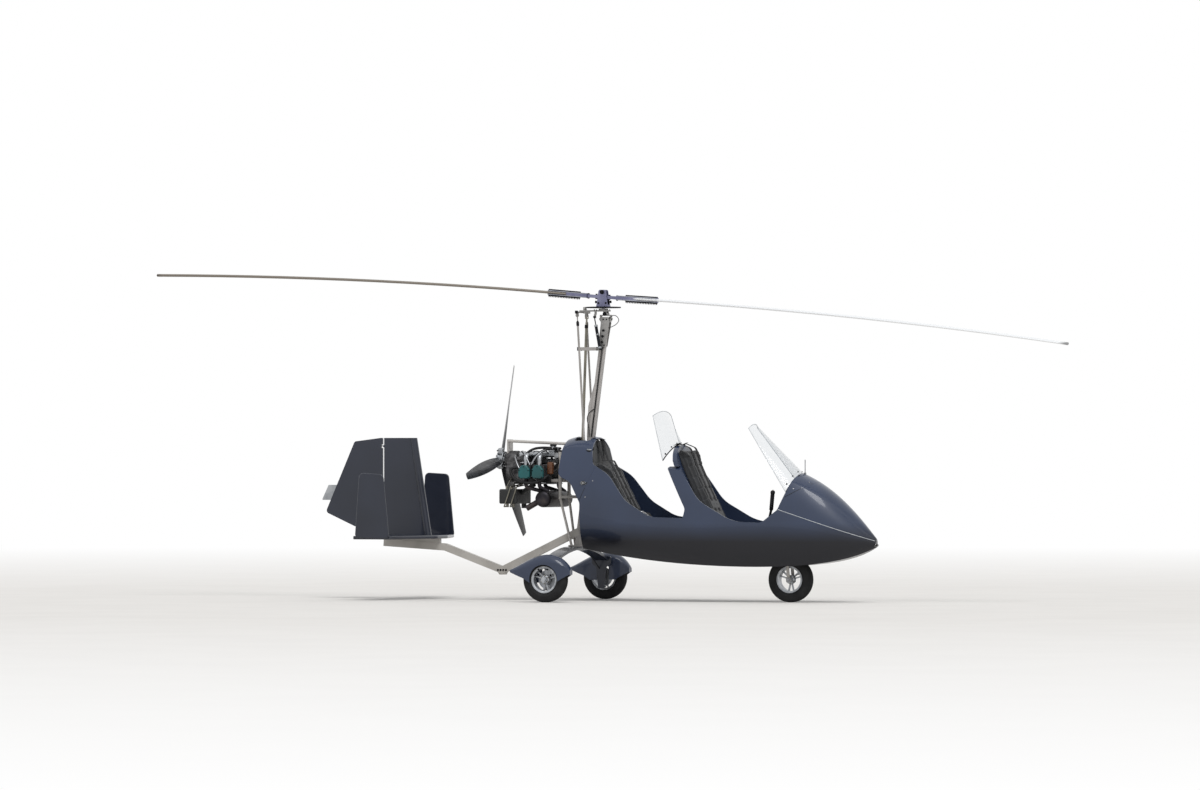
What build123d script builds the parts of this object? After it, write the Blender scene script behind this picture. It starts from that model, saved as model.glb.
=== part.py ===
from build123d import *
import os
from math import atan2, cos, degrees, hypot, radians, sin, tan

# Tandem two-seat gyrocopter, in millimetres
# X points forward, Y to port and Z up, and the ground under the tyres is Z = 0

# Driving dimensions: clearances and walls
FIT = 0.3                 # gap between curved faces that touch or slide
RUNNING_GAP = 5           # gap between pieces that pass each other
PANEL_GAP = 0.8           # seam between body panels
BODY_WALL = 8
TUBE_WALL = 3
SHEET = 4                 # clear windscreen sheet

# Driving dimensions: rotor
ROTOR_RADIUS = 4200
ROTOR_X = 12
TEETER_Z = 2673
UNDERSLING = 42           # hub bar centre below the teeter bolt
PARKED_TEETER = 4.45      # front blade hangs low when parked
PRECONE = 0.65
BLADE_DROOP = 150
BLADE_ROOT = 330
BLADE_CHORD = 200
BLADE_THICKNESS = 24
HUB_BAR_HALF = 150
HUB_CLAMP_END = 500
HUB_BAR_WIDTH = 44
HUB_BAR_THICKNESS = 28
CLAMP_WIDTH = 70
CLAMP_PLATE = 8
TEETER_BOLT = 8
TOWER_CHEEK = 8
RING_GEAR_RADIUS = 150
RING_GEAR_Z = 2540
RING_GEAR_THICKNESS = 10
ROTOR_SHAFT = 15

# Driving dimensions: rotor head and mast
PITCH_X = 37
PITCH_Z = 2483
ROLL_Z = 2440
HEAD_BOLT = 8
MAST_FOOT = (-215, 482)
MAST_TOP = (37, 2432)
MAST_DEPTH = 57
MAST_WIDTH = 45
MAST_PLATE = 8
ROD_X = -186
ROD_Y = 115
ROD_TOP_Z = 2470
ROD_RADIUS = 9
ROD_LEAN = -0.0594        # rods move forward as they go down, in mm for each mm
ROD_FOOT_Z = 1250
SHAFT_FOOT_Z = 1320       # stops above the engine frame when the head tips back
BALL_RADIUS = 8
SHAFT_X = -140
SHAFT_TOP_Z = 2468
SHAFT_LEAN = 0.036
SHAFT_RADIUS = 12

# Driving dimensions: landing gear
WHEEL_RADIUS = 195
TYRE_WIDTH = 100
RIM_RADIUS = 112
AXLE_RADIUS = 10
MAIN_X = -240
MAIN_Y = 750
NOSE_X = 1724
FORK_RAKE = 5.7
STEER_TUBE = 18
BOW_WIDTH = 120
BOW_THICKNESS = 26
BOW_TOP_Z = 470
BOW_TIP_Z = 352
SPAT_WALL = 5
SPAT_HALF_WIDTH = 72

# Driving dimensions: propeller and engine
PROP_X = -925
PROP_Z = 1228
PROP_RADIUS = 865
PROP_HUB_RADIUS = 52
PROP_HUB_LENGTH = 80
CRANK_Z = 1116
CYLINDER_X = (-613, -489)
VALVE_COVER_Y = 300

# Driving dimensions: tail
BOOM_WIDTH = 50
BOOM_DEPTH = 62
TAIL_THICKNESS = 30
STAB_HALF_SPAN = 780
HINGE_X = -2034
FIN_THICKNESS = 30
END_FIN_THICKNESS = 18


def block(x0, x1, y0, y1, z0, z1):
    centre = Pos((x0 + x1) / 2, (y0 + y1) / 2, (z0 + z1) / 2)
    return centre * Box(x1 - x0, y1 - y0, z1 - z0)


def rod(start, end, radius, bore=0):
    axis = Vector(*end) - Vector(*start)
    plane = Plane(origin=start, z_dir=axis)
    solid = extrude(plane * Circle(radius), axis.length)
    if bore:
        solid -= extrude(plane * Circle(bore), axis.length)
    return solid


def rounded_face(table):
    """Flat face from rows of (first axis, second axis, corner radius)."""
    points = [(a, b) for a, b, _ in table]
    radii = [r for _, _, r in table]
    return make_face(FilletPolyline(*points, radius=radii, close=True))


def side_plate(table, y0, y1):
    """Side-view outline in rows of (x, z, corner radius), from y0 to y1."""
    return extrude(Plane.XZ.offset(-y1) * rounded_face(table), y1 - y0)


def front_plate(table, x0, x1):
    """Front-view outline in rows of (y, z, corner radius), from x0 to x1."""
    return extrude(Plane.YZ.offset(x0) * rounded_face(table), x1 - x0)


def floor_plate(table, z0, z1):
    """Plan-view outline in rows of (x, y, corner radius), from z0 to z1."""
    return extrude(Plane.XY.offset(z0) * rounded_face(table), z1 - z0)


def mirrored(solid):
    return mirror(solid, about=Plane.XZ)


def both_sides(solid):
    return Compound([*solid.solids(), *mirrored(solid).solids()])


def along(start, end, distance):
    """Point at a distance from start on the way to end."""
    step = (Vector(*end) - Vector(*start)).normalized() * distance
    return tuple(Vector(*start) + step)


# Body sections, from the nose tip to the tail end of the rear cowl:
# x, bottom z, belt z, shoulder z, top z, half widths at bottom, belt and shoulder
BODY_STATIONS = [
    (2495, 475, 512, 540, 548, 14, 28, 14),
    (2300, 392, 560, 700, 770, 90, 165, 105),
    (1850, 318, 640, 1010, 1098, 190, 290, 215),
    (1000, 318, 640, 1130, 1200, 240, 350, 290),
    (100, 420, 720, 1290, 1385, 230, 335, 235),
    (-310, 500, 800, 1300, 1392, 200, 300, 205),
]


def side_arc(width, belt, y, z, side):
    """Arc from the belt, where it is upright, to the point (y, z)."""
    inward = width - y
    rise = z - belt
    radius = (inward ** 2 + rise ** 2) / (2 * inward)
    half_angle = atan2(rise, radius - inward) / 2
    middle = (width - radius + radius * cos(half_angle), belt + radius * sin(half_angle))
    return ThreePointArc((side * width, belt), (side * middle[0], middle[1]), (side * y, z))


def body_section(station, inset):
    x, bottom, belt, shoulder, top, low, wide, high = station
    bottom, shoulder, top = bottom + inset, shoulder - inset, top - inset
    low, wide, high = low - inset, wide - inset, high - inset
    edges = [
        Line((-low, bottom), (low, bottom)),
        side_arc(wide, belt, low, bottom, 1),
        side_arc(wide, belt, high, shoulder, 1),
        ThreePointArc((high, shoulder), (0, top), (-high, shoulder)),
        side_arc(wide, belt, high, shoulder, -1),
        side_arc(wide, belt, low, bottom, -1),
    ]
    face = make_face(Curve() + edges)
    return Plane.YZ.offset(x - inset if station is BODY_STATIONS[0] else x) * face


def body_envelope(inset):
    return loft([body_section(station, inset) for station in BODY_STATIONS])


# Side-view outline of what stays of the body shell, in rows of x, z, corner radius
POD_PEAK = (1836, 1118)
POD_FOOT = (1698, 794)
SILL_FRONT = (1560, 684)
COWL_REAR_X = -309
SIDE_BAND_TOP = 1164
BODY_REAR_X = -93
BODY_OUTLINE = [
    (2600, 200, 0),
    (2600, 1500, 0),
    (1999, 1500, 0),
    (*POD_PEAK, 0),
    (*POD_FOOT, 60),
    (*SILL_FRONT, 90),
    (1310, 692, 400),
    (1000, 870, 300),
    (806, SIDE_BAND_TOP, 14),
    (694, SIDE_BAND_TOP, 14),
    (880, 800, 60),
    (862, 722, 10),
    (560, 730, 250),
    (330, 870, 300),
    (170, 1090, 300),
    (10, 1185, 50),
    (-30, 1500, 0),
    (-276, 1500, 0),
    (COWL_REAR_X, 1086, 60),
    (-190, 1030, 120),
    (BODY_REAR_X, 850, 60),
    (BODY_REAR_X, 200, 0),
]

OUTER = body_envelope(0)
INNER = body_envelope(BODY_WALL)
SHELL = (OUTER - INNER) & side_plate(BODY_OUTLINE, -500, 500)

SEAM_NOSE = ((1600, 827.5), (2600, 485.8))
SEAM_POD = ((1650, 837.6), (2200, 1152))
SEAM_COWL = ((60, 1215), (-130, 800))


def above(seam, gap, top=1600):
    (x0, z0), (x1, z1) = seam
    return side_plate([(x0, z0 + gap, 0), (x1, z1 + gap, 0), (x1, top, 0), (x0, top, 0)], -500, 500)


WELL_X = (1532, 1940)
WELL_HALF_WIDTH = 138
WELL_TOP = 560
WELL_WALL = 4


# Body panels
REAR_REGION = [
    (*SEAM_COWL[0], 0),
    (*SEAM_COWL[1], 0),
    (-400, 800, 0),
    (-400, 1600, 0),
    (60, 1600, 0),
]
COWL_SLOT = [(-208, -144, 30), (-58, -144, 30), (-58, 144, 30), (-208, 144, 30)]
FIREWALL_TOP = 840
FIREWALL = 4


def nose_cowl():
    return (SHELL & above(SEAM_NOSE, PANEL_GAP)) - above(SEAM_POD, 0)


def instrument_pod():
    return SHELL & above(SEAM_POD, PANEL_GAP)


def rear_cowl():
    cowl = SHELL & side_plate(REAR_REGION, -500, 500)
    return cowl - floor_plate(COWL_SLOT, 1250, 1500)


def wheel_well():
    x0, x1 = WELL_X
    outer = block(x0 - WELL_WALL, x1 + WELL_WALL, -WELL_HALF_WIDTH - WELL_WALL,
                  WELL_HALF_WIDTH + WELL_WALL, 200, WELL_TOP)
    inner = block(x0, x1, -WELL_HALF_WIDTH, WELL_HALF_WIDTH, 100, WELL_TOP - WELL_WALL)
    well = (outer & body_envelope(BODY_WALL + FIT)) - inner
    return well - steering_rod(STEER_TUBE + RUNNING_GAP, 300, 700)


def hull_tub():
    grown = [(x + PANEL_GAP, z, r) for x, z, r in REAR_REGION]
    tub = SHELL - above(SEAM_NOSE, 0) - side_plate(grown, -500, 500)
    tub -= block(*WELL_X, -WELL_HALF_WIDTH, WELL_HALF_WIDTH, 200, 400)
    firewall = block(BODY_REAR_X, BODY_REAR_X + FIREWALL, -400, 400, 300, FIREWALL_TOP) & INNER
    return tub + (firewall - frame_keel_outer(FIT))


# Backbone tube inside the body, and the steering head above the nose wheel
KEEL_SIZE = 50
KEEL_PATH = [(-200, 512), (150, 456), (900, 362), (1520, 353)]
HEAD_TUBE_RADIUS = 27
POST_X = (WELL_X[0] - WELL_WALL - 18, WELL_X[0] - WELL_WALL)


def band(points, half):
    """Corner points of a bar of even depth that follows a bent line."""
    def offset_side(side):
        rows = []
        last = len(points) - 1
        for i, (x, z) in enumerate(points):
            before = points[max(i - 1, 0)]
            after = points[min(i + 1, last)]
            into = atan2(z - before[1], x - before[0]) if i else None
            out = atan2(after[1] - z, after[0] - x) if i < last else into
            into = out if into is None else into
            middle = (into + out) / 2
            reach = side * half / cos((out - into) / 2)
            rows.append((x - reach * sin(middle), z + reach * cos(middle), 0))
        return rows
    return offset_side(1) + offset_side(-1)[::-1]


def frame_keel_outer(extra=0):
    half = KEEL_SIZE / 2 + extra
    return side_plate(band(KEEL_PATH, half), -half, half)


def frame_keel():
    half = KEEL_SIZE / 2 - TUBE_WALL
    (x0, z0), (x1, z1) = KEEL_PATH[-2:]
    longer = KEEL_PATH[:-1] + [(x1 + 50, z1 + 50 * (z1 - z0) / (x1 - x0))]
    tube = frame_keel_outer() - side_plate(band(longer, half), -half, half)
    top_plate = block(POST_X[0], NOSE_X, -32, 32, WELL_TOP, WELL_TOP + 8)
    post = block(*POST_X, -32, 32, KEEL_PATH[-1][1], WELL_TOP)
    head = steering_rod(HEAD_TUBE_RADIUS, WELL_TOP - 2, WELL_TOP + 100)
    head &= block(1500, 1900, -50, 50, WELL_TOP, 800)
    frame = tube + (post - frame_keel_outer()) + top_plate + head
    return frame - steering_rod(STEER_TUBE + FIT, 400, 800) - mast_outer()


# Steering axis: through the nose axle, leaning aft as it rises
def steer_point(z):
    return (NOSE_X - (z - WHEEL_RADIUS) * tan(radians(FORK_RAKE)), 0, z)


def steering_rod(radius, z0, z1):
    return rod(steer_point(z0), steer_point(z1), radius)


# Windscreens: thin curved sheets between a base arc and a top arc
SCREEN_UP = (0.392, 0.920)


def screen_section(x, z, half_width, drop):
    plane = Plane(origin=(x, 0, z), x_dir=(0, 1, 0), z_dir=(SCREEN_UP[1], 0, -SCREEN_UP[0]))
    inner = half_width - SHEET
    edges = [
        ThreePointArc((-half_width, -drop), (0, 0), (half_width, -drop)),
        Line((half_width, -drop), (inner, -drop)),
        ThreePointArc((inner, -drop), (0, -SHEET), (-inner, -drop)),
        Line((-inner, -drop), (-half_width, -drop)),
    ]
    return plane * make_face(Curve() + edges)


# Rows: centre x, centre z, half width, drop at the sides
FRONT_SCREEN = [(1830, 1104, 258, 172), (1397, 1529, 122, 38)]
SEAT_TOP = (725, 1352)
REAR_SCREEN = [(SEAT_TOP[0] - 8, SEAT_TOP[1] + 2, 282, 150), (570, 1642, 238, 44)]


def windscreen(rows):
    return loft([screen_section(*row) for row in rows], ruled=True)


# Seats
SEAT_SLAB = 40
SEAT_FRONT = [(1135, 300), (1075, 560), (803, SIDE_BAND_TOP), (SEAT_TOP[0] + SEAT_SLAB / 2, SEAT_TOP[1])]
PAN_TOP = 430
PAN_FRONT_X = 1405
SEAT_WALL = 8
CUSHION = 75
REAR_PAN_TOP = 605
REAR_SEAT_PATH = [(484, 300), (484, REAR_PAN_TOP), (296, REAR_PAN_TOP), (10, 1190), (-24, 1386)]


def seat_crown():
    """What stands above the sides of the body: the arched top of the front seat's back."""
    side = REAR_SCREEN[0][2]
    low = SIDE_BAND_TOP
    shoulder = SEAT_TOP[1] - REAR_SCREEN[0][3] * SCREEN_UP[1]
    edges = [
        Line((side, low), (-side, low)),
        Line((-side, low), (-side, shoulder)),
        ThreePointArc((-side, shoulder), (0, SEAT_TOP[1]), (side, shoulder)),
        Line((side, shoulder), (side, low)),
    ]
    return extrude(Plane.YZ * make_face(Curve() + edges), 2000)


def front_seat_shell():
    front = [(x, z, 0) for x, z in SEAT_FRONT]
    back = [(x - SEAT_SLAB, z, 0) for x, z in SEAT_FRONT[::-1]]
    slab = side_plate(front + back, -400, 400)
    low = slab & INNER & block(0, 2000, -400, 400, 200, SIDE_BAND_TOP)
    high = slab & seat_crown()
    pan = block(1000, PAN_FRONT_X, -400, 400, PAN_TOP - SEAT_WALL, PAN_TOP)
    pan += block(PAN_FRONT_X - SEAT_WALL, PAN_FRONT_X, -400, 400, 300, PAN_TOP)
    pan = (pan & INNER) - side_plate(front + [(0, SEAT_TOP[1], 0), (0, 300, 0)], -400, 400)
    return (low + high + pan) - frame_keel_outer(FIT)


def front_cushions():
    base = [
        (1120, PAN_TOP + FIT, 20), (PAN_FRONT_X - 5, PAN_TOP + FIT, 20),
        (PAN_FRONT_X - 5, PAN_TOP + CUSHION, 30), (1120, PAN_TOP + CUSHION + 15, 30),
    ]
    back_line = [(x + 1, z) for x, z in SEAT_FRONT[1:]]
    (x0, z0), (x1, z1), (x2, z2) = back_line
    x2 += (x1 - x2) * 30 / (z2 - z1)
    back = [
        (x0, z0, 20), (x1, z1, 300), (x2, z2 - 30, 15),
        (x2 + CUSHION - 15, z2 - 30, 30), (x1 + CUSHION, z1, 300), (x0 + CUSHION, z0 + 15, 30),
    ]
    return Compound([side_plate(base, -205, 205), side_plate(back, -205, 205)])


def rear_seat_shell():
    shell = side_plate(band(REAR_SEAT_PATH, SEAT_WALL / 2), -400, 400) & INNER
    return shell - frame_keel_outer(FIT)


def rear_cushions():
    top = REAR_PAN_TOP + SEAT_WALL / 2 + FIT
    base = [(330, top, 20), (478, top, 20), (478, top + CUSHION, 30), (330, top + CUSHION + 10, 30)]
    lift = SEAT_WALL / 2 + 0.8
    (x0, z0), (x1, z1) = REAR_SEAT_PATH[2:4]
    back = [
        (x0 + lift, z0 + 30, 20), (x1 + lift, z1, 15),
        (x1 + CUSHION, z1 + 10, 30), (x0 + CUSHION - 32, z0 + 105, 30),
    ]
    base_solid = side_plate(base, -200, 200)
    return Compound([base_solid, side_plate(back, -200, 200)])


# Instrument panel, control sticks and pedals
def instrument_panel():
    (x0, z0), (x1, z1) = POD_FOOT, POD_PEAK
    rows = [(x0 + 26, z0 + 30, 0), (x1 + 26, z1 + 30, 0), (x1 + 30, z1 + 30, 0), (x0 + 30, z0 + 30, 0)]
    return side_plate(rows, -400, 400) & INNER


STICK_FOOT = (1440, 0, 360)
STICK_BEND = (1545, 0, 790)
STICK_TOP = (1560, 0, 950)
PEDAL_X = 2050


def cockpit_controls():
    stick = rod(STICK_FOOT, STICK_BEND, 11) + Pos(*STICK_BEND) * Sphere(11) + rod(STICK_BEND, STICK_TOP, 17)
    shaft = rod((PEDAL_X, -140, 400), (PEDAL_X, 140, 400), 9)
    for y in (-100, 100):
        shaft += block(PEDAL_X - 15, PEDAL_X + 15, y - 6, y + 6, 300, 400) & INNER
        shaft += rod((PEDAL_X, y, 400), (PEDAL_X + 20, y, 500), 7)
        shaft += side_plate([(PEDAL_X + 10, 440, 2), (PEDAL_X + 18, 440, 2),
                             (PEDAL_X + 40, 540, 2), (PEDAL_X + 32, 540, 2)], y - 38, y + 38)
    return Compound([stick - frame_keel_outer(), shaft])


# Lights and pitot tube
# Rows: x, y, z and half lengths of each lamp's lens
LAMPS = [(-62, 304, 1021, 32, 12, 15), (2490, 22, 492, 16, 12, 12)]


def position_lights():
    lenses = []
    for x, y, z, a, b, c in LAMPS:
        for side in (-1, 1):
            lens = Pos(x, side * y, z) * scale(Sphere(10), (a / 10, b / 10, c / 10))
            lenses.append(lens - OUTER)
    return Compound([solid for lens in lenses for solid in lens.solids()])


PITOT_X = 1852


def pitot_tube():
    tube = rod((PITOT_X, 0, 1060), (PITOT_X, 0, 1222), 4) + rod((PITOT_X, 0, 1060), (PITOT_X, 0, 1112), 10)
    return tube - OUTER


# Mast, its top plates and the guide fork for the upright rods
MAST_SLOPE = (MAST_TOP[0] - MAST_FOOT[0]) / (MAST_TOP[1] - MAST_FOOT[1])
MAST_TUBE_TOP = 2395
GUSSET_DEPTH = 40
MAST_PAD = 13


def mast_x(z):
    return MAST_FOOT[0] + (z - MAST_FOOT[1]) * MAST_SLOPE


def mast_bar(depth, width, z0, z1):
    face = Plane(origin=(mast_x(z0), 0, z0), x_dir=(1, 0, -MAST_SLOPE), z_dir=(MAST_SLOPE, 0, 1))
    length = hypot(z1 - z0, mast_x(z1) - mast_x(z0))
    return extrude(face * RectangleRounded(depth, width, 6), length)


def mast_outer():
    return mast_bar(MAST_DEPTH, MAST_WIDTH, MAST_FOOT[1] - 20, MAST_TUBE_TOP)


def mast():
    tube = mast_outer()
    bore = mast_bar(MAST_DEPTH - 2 * TUBE_WALL, MAST_WIDTH - 2 * TUBE_WALL, MAST_FOOT[1] + 20, 2500)
    aft = MAST_DEPTH / 2 - 4
    gusset_rows = [(1930, 0), (1690, GUSSET_DEPTH), (1430, GUSSET_DEPTH / 2), (1300, 0)]
    gusset = [(mast_x(z) - aft - depth, z, 0) for z, depth in gusset_rows]
    fork_z = 2182
    fork_root = mast_x(fork_z) - MAST_DEPTH / 4
    prongs = block(-212, fork_root, 38, 44, fork_z - 14, fork_z + 14)
    prongs += block(-212, fork_root, -44, -38, fork_z - 14, fork_z + 14)
    prongs += block(fork_root - 20, fork_root, -44, 44, fork_z - 14, fork_z + 14)
    solid = tube + side_plate(gusset, -8, 8) + prongs
    foot = block(mast_x(490) - 75, mast_x(490) + 60, -60, 60, BOW_TOP_Z, BOW_TOP_Z + MAST_PAD)
    below = block(-400, 100, -200, 200, 300, BOW_TOP_Z)
    return solid + (foot - frame_keel_outer()) - bore - below


MAST_HEAD_HALF = 38
MAST_HEAD_TOP = 2457


def mast_head():
    y0, y1 = MAST_WIDTH / 2, MAST_WIDTH / 2 + MAST_PLATE
    rows = [
        (mast_x(2198) - 30, 2198, 12), (mast_x(2198) + 32, 2198, 12),
        (PITCH_X + MAST_HEAD_HALF, 2400, 30), (PITCH_X + MAST_HEAD_HALF, 2452, 8),
        (PITCH_X - MAST_HEAD_HALF, 2452, 8), (PITCH_X - MAST_HEAD_HALF, 2400, 30),
    ]
    cheeks = side_plate(rows, y0, y1) + side_plate(rows, -y1, -y0)
    top = block(PITCH_X - MAST_HEAD_HALF, PITCH_X + MAST_HEAD_HALF, -y1, y1, 2412, MAST_HEAD_TOP)
    head = cheeks + top
    bore = rod((-100, 0, ROLL_Z), (200, 0, ROLL_Z), HEAD_BOLT + FIT)
    for z in (2240, 2290, 2340):
        head += rod((mast_x(z), -y1 - 8, z), (mast_x(z), -y1, z), 9)
        head += rod((mast_x(z), y1, z), (mast_x(z), y1 + 8, z), 9)
    return head - bore - mast_outer()


TRIM_Y = -66
TRIM_EYE = (-46, TRIM_Y, 2457)
TRIM_FOOT = (6, TRIM_Y, 2175)


def trim_cylinder():
    neck = along(TRIM_EYE, TRIM_FOOT, 70)
    eye = rod((TRIM_EYE[0], TRIM_Y - 4, TRIM_EYE[2]), (TRIM_EYE[0], TRIM_Y + 4, TRIM_EYE[2]), 11)
    body = rod(TRIM_EYE, neck, 5) + rod(neck, TRIM_FOOT, 13) + eye
    pin_x, pin_z = TRIM_FOOT[0], TRIM_FOOT[2] + 8
    body += rod((pin_x, TRIM_Y, pin_z), (pin_x, -MAST_WIDTH / 2, pin_z), 7)
    return body - rod((TRIM_EYE[0], TRIM_Y - 9, TRIM_EYE[2]), (TRIM_EYE[0], TRIM_Y + 9, TRIM_EYE[2]), 5)


# Rotor head: the gimbal rolls on the mast head and the bridge pitches on the gimbal
GIMBAL_PLATE = 10
GIMBAL_HALF_WIDTH = 20
FORK_CHEEK = 8
CHEEK_RADIUS = 15
BRIDGE_Z = 2505
BRIDGE_PLATE = 12
HOUSING_TOP = 2530


def gimbal():
    x0 = PITCH_X - MAST_HEAD_HALF - 2
    x1 = PITCH_X + MAST_HEAD_HALF + 2
    legs = block(x0 - GIMBAL_PLATE, x0, -GIMBAL_HALF_WIDTH, GIMBAL_HALF_WIDTH, 2420, 2476)
    legs += block(x1, x1 + GIMBAL_PLATE, -GIMBAL_HALF_WIDTH, GIMBAL_HALF_WIDTH, 2420, 2476)
    bridge = block(x0 - GIMBAL_PLATE, x1 + GIMBAL_PLATE, -GIMBAL_HALF_WIDTH, GIMBAL_HALF_WIDTH, 2467, 2476)
    boss = rod((PITCH_X, -GIMBAL_HALF_WIDTH, PITCH_Z), (PITCH_X, GIMBAL_HALF_WIDTH, PITCH_Z), 16)
    boss -= block(-100, 200, -100, 100, 2400, 2467)
    pitch_bore = rod((PITCH_X, -50, PITCH_Z), (PITCH_X, 50, PITCH_Z), HEAD_BOLT + FIT)
    roll_bolt = rod((x0 - GIMBAL_PLATE - 10, 0, ROLL_Z), (x1 + GIMBAL_PLATE + 10, 0, ROLL_Z), HEAD_BOLT)
    return legs + bridge + boss - pitch_bore + roll_bolt


CLEVIS_GAP = 9
CLEVIS_EAR = 5
EYE_PIN = 4
YOKE_GAP = 10
YOKE_EAR = 5


def head_bridge():
    cheek = GIMBAL_HALF_WIDTH + 3
    plate_rows = [
        (-178, -30, 6), (-70, -38, 20), (70, -38, 10), (70, 38, 10), (-70, 38, 20), (-178, 30, 6),
    ]
    top = BRIDGE_Z + BRIDGE_PLATE
    head = floor_plate(plate_rows, BRIDGE_Z, top)
    head += rod((ROTOR_X, 0, BRIDGE_Z), (ROTOR_X, 0, HOUSING_TOP), 40)
    for side in (-1, 1):
        y0, y1 = sorted((side * cheek, side * (cheek + FORK_CHEEK)))
        head += block(PITCH_X - CHEEK_RADIUS, PITCH_X + CHEEK_RADIUS, y0, y1, PITCH_Z, BRIDGE_Z)
        head += rod((PITCH_X, y0, PITCH_Z), (PITCH_X, y1, PITCH_Z), CHEEK_RADIUS)
    bolt_half = cheek + FORK_CHEEK + 8
    head += rod((PITCH_X, -bolt_half, PITCH_Z), (PITCH_X, bolt_half, PITCH_Z), HEAD_BOLT)
    reach = ROD_Y + CLEVIS_GAP + CLEVIS_EAR
    head += block(ROD_X - 11, ROD_X + 11, -reach, reach, BRIDGE_Z - 12, BRIDGE_Z)
    head += block(ROD_X - 11, ROD_X + 16, -30, 30, BRIDGE_Z - 12, top)
    for side in (-1, 1):
        for near in (CLEVIS_GAP, -CLEVIS_GAP - CLEVIS_EAR):
            y0 = side * ROD_Y + near
            head += block(ROD_X - 9, ROD_X + 9, y0, y0 + CLEVIS_EAR, ROD_TOP_Z - 9, BRIDGE_Z - 12)
        y = side * ROD_Y
        pin = CLEVIS_GAP + CLEVIS_EAR + 3
        head += rod((ROD_X, y - pin, ROD_TOP_Z), (ROD_X, y + pin, ROD_TOP_Z), EYE_PIN)
    head += block(SHAFT_X - 24, SHAFT_X + 24, -24, 24, SHAFT_TOP_Z + 20, BRIDGE_Z)
    for y0 in (YOKE_GAP, -YOKE_GAP - YOKE_EAR):
        head += block(SHAFT_X - 7, SHAFT_X + 7, y0, y0 + YOKE_EAR, SHAFT_TOP_Z - 7, SHAFT_TOP_Z + 20)
    pinion = 15
    pinion_x = ROTOR_X - RING_GEAR_RADIUS - RUNNING_GAP - pinion
    head += rod((pinion_x, 0, top), (pinion_x, 0, RING_GEAR_Z + RING_GEAR_THICKNESS / 2), pinion)
    head += block(TRIM_EYE[0] - 10, TRIM_EYE[0] + 10, -38, -32, TRIM_EYE[2] + 20, BRIDGE_Z)
    head += block(TRIM_EYE[0] - 10, TRIM_EYE[0] + 10, -52, -32, TRIM_EYE[2] + 20, TRIM_EYE[2] + 26)
    head += block(TRIM_EYE[0] - 10, TRIM_EYE[0] + 10, -52, -46, TRIM_EYE[2] - 10, TRIM_EYE[2] + 26)
    bores = rod((ROTOR_X, 0, 2400), (ROTOR_X, 0, 2600), ROTOR_SHAFT + FIT)
    bores += rod((SHAFT_X, -20, SHAFT_TOP_Z), (SHAFT_X, 20, SHAFT_TOP_Z), EYE_PIN + 0.1)
    return head - bores


def rod_ball(side):
    centre = (ROD_X, side * ROD_Y, ROD_TOP_Z)
    hole = rod((ROD_X, side * ROD_Y - 20, ROD_TOP_Z), (ROD_X, side * ROD_Y + 20, ROD_TOP_Z), EYE_PIN + 0.1)
    return Pos(*centre) * Sphere(BALL_RADIUS) - hole


def control_rod(side):
    y = side * ROD_Y
    foot = (ROD_X + (ROD_FOOT_Z - ROD_TOP_Z) * ROD_LEAN, y, ROD_FOOT_Z)
    start = along((ROD_X, y, ROD_TOP_Z), foot, 12)
    neck = along((ROD_X, y, ROD_TOP_Z), foot, 55)
    eye = rod((ROD_X, y - 5, ROD_TOP_Z), (ROD_X, y + 5, ROD_TOP_Z), 14)
    shank = eye + rod(start, neck, 5) + rod(neck, foot, ROD_RADIUS)
    return shank - rod((ROD_X, y - 9, ROD_TOP_Z), (ROD_X, y + 9, ROD_TOP_Z), BALL_RADIUS + FIT)


def shaft_cross():
    x, z = SHAFT_X, SHAFT_TOP_Z
    cross = rod((x, -YOKE_GAP - YOKE_EAR, z), (x, YOKE_GAP + YOKE_EAR, z), EYE_PIN)
    cross += rod((x - YOKE_GAP - YOKE_EAR, 0, z), (x + YOKE_GAP + YOKE_EAR, 0, z), EYE_PIN)
    return cross + Pos(x, 0, z) * Sphere(7)


def prerotator_shaft():
    x, z = SHAFT_X, SHAFT_TOP_Z
    foot = (x + (SHAFT_FOOT_Z - z) * SHAFT_LEAN, 0, SHAFT_FOOT_Z)
    yoke_base = block(x - YOKE_GAP - YOKE_EAR, x + YOKE_GAP + YOKE_EAR, -7, 7, z - 26, z - 18)
    for x0 in (x + YOKE_GAP, x - YOKE_GAP - YOKE_EAR):
        yoke_base += block(x0, x0 + YOKE_EAR, -7, 7, z - 26, z + 7)
    holes = rod((x - 30, 0, z), (x + 30, 0, z), EYE_PIN + 0.1)
    neck = along((x, 0, z), foot, 75)
    start = along((x, 0, z), foot, 20)
    return yoke_base - holes + rod(start, neck, 8) + rod(neck, foot, SHAFT_RADIUS)


# Rotor
RING_HOLE = 34


def ring_gear():
    z0 = RING_GEAR_Z - RING_GEAR_THICKNESS / 2
    z1 = z0 + RING_GEAR_THICKNESS
    gear = rod((ROTOR_X, 0, z0), (ROTOR_X, 0, z1), RING_GEAR_RADIUS, ROTOR_SHAFT)
    for turn in range(0, 360, 60):
        x = ROTOR_X + 95 * cos(radians(turn + 30))
        y = 95 * sin(radians(turn + 30))
        gear -= rod((x, y, z0 - 5), (x, y, z1 + 5), RING_HOLE)
    return gear


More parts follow.
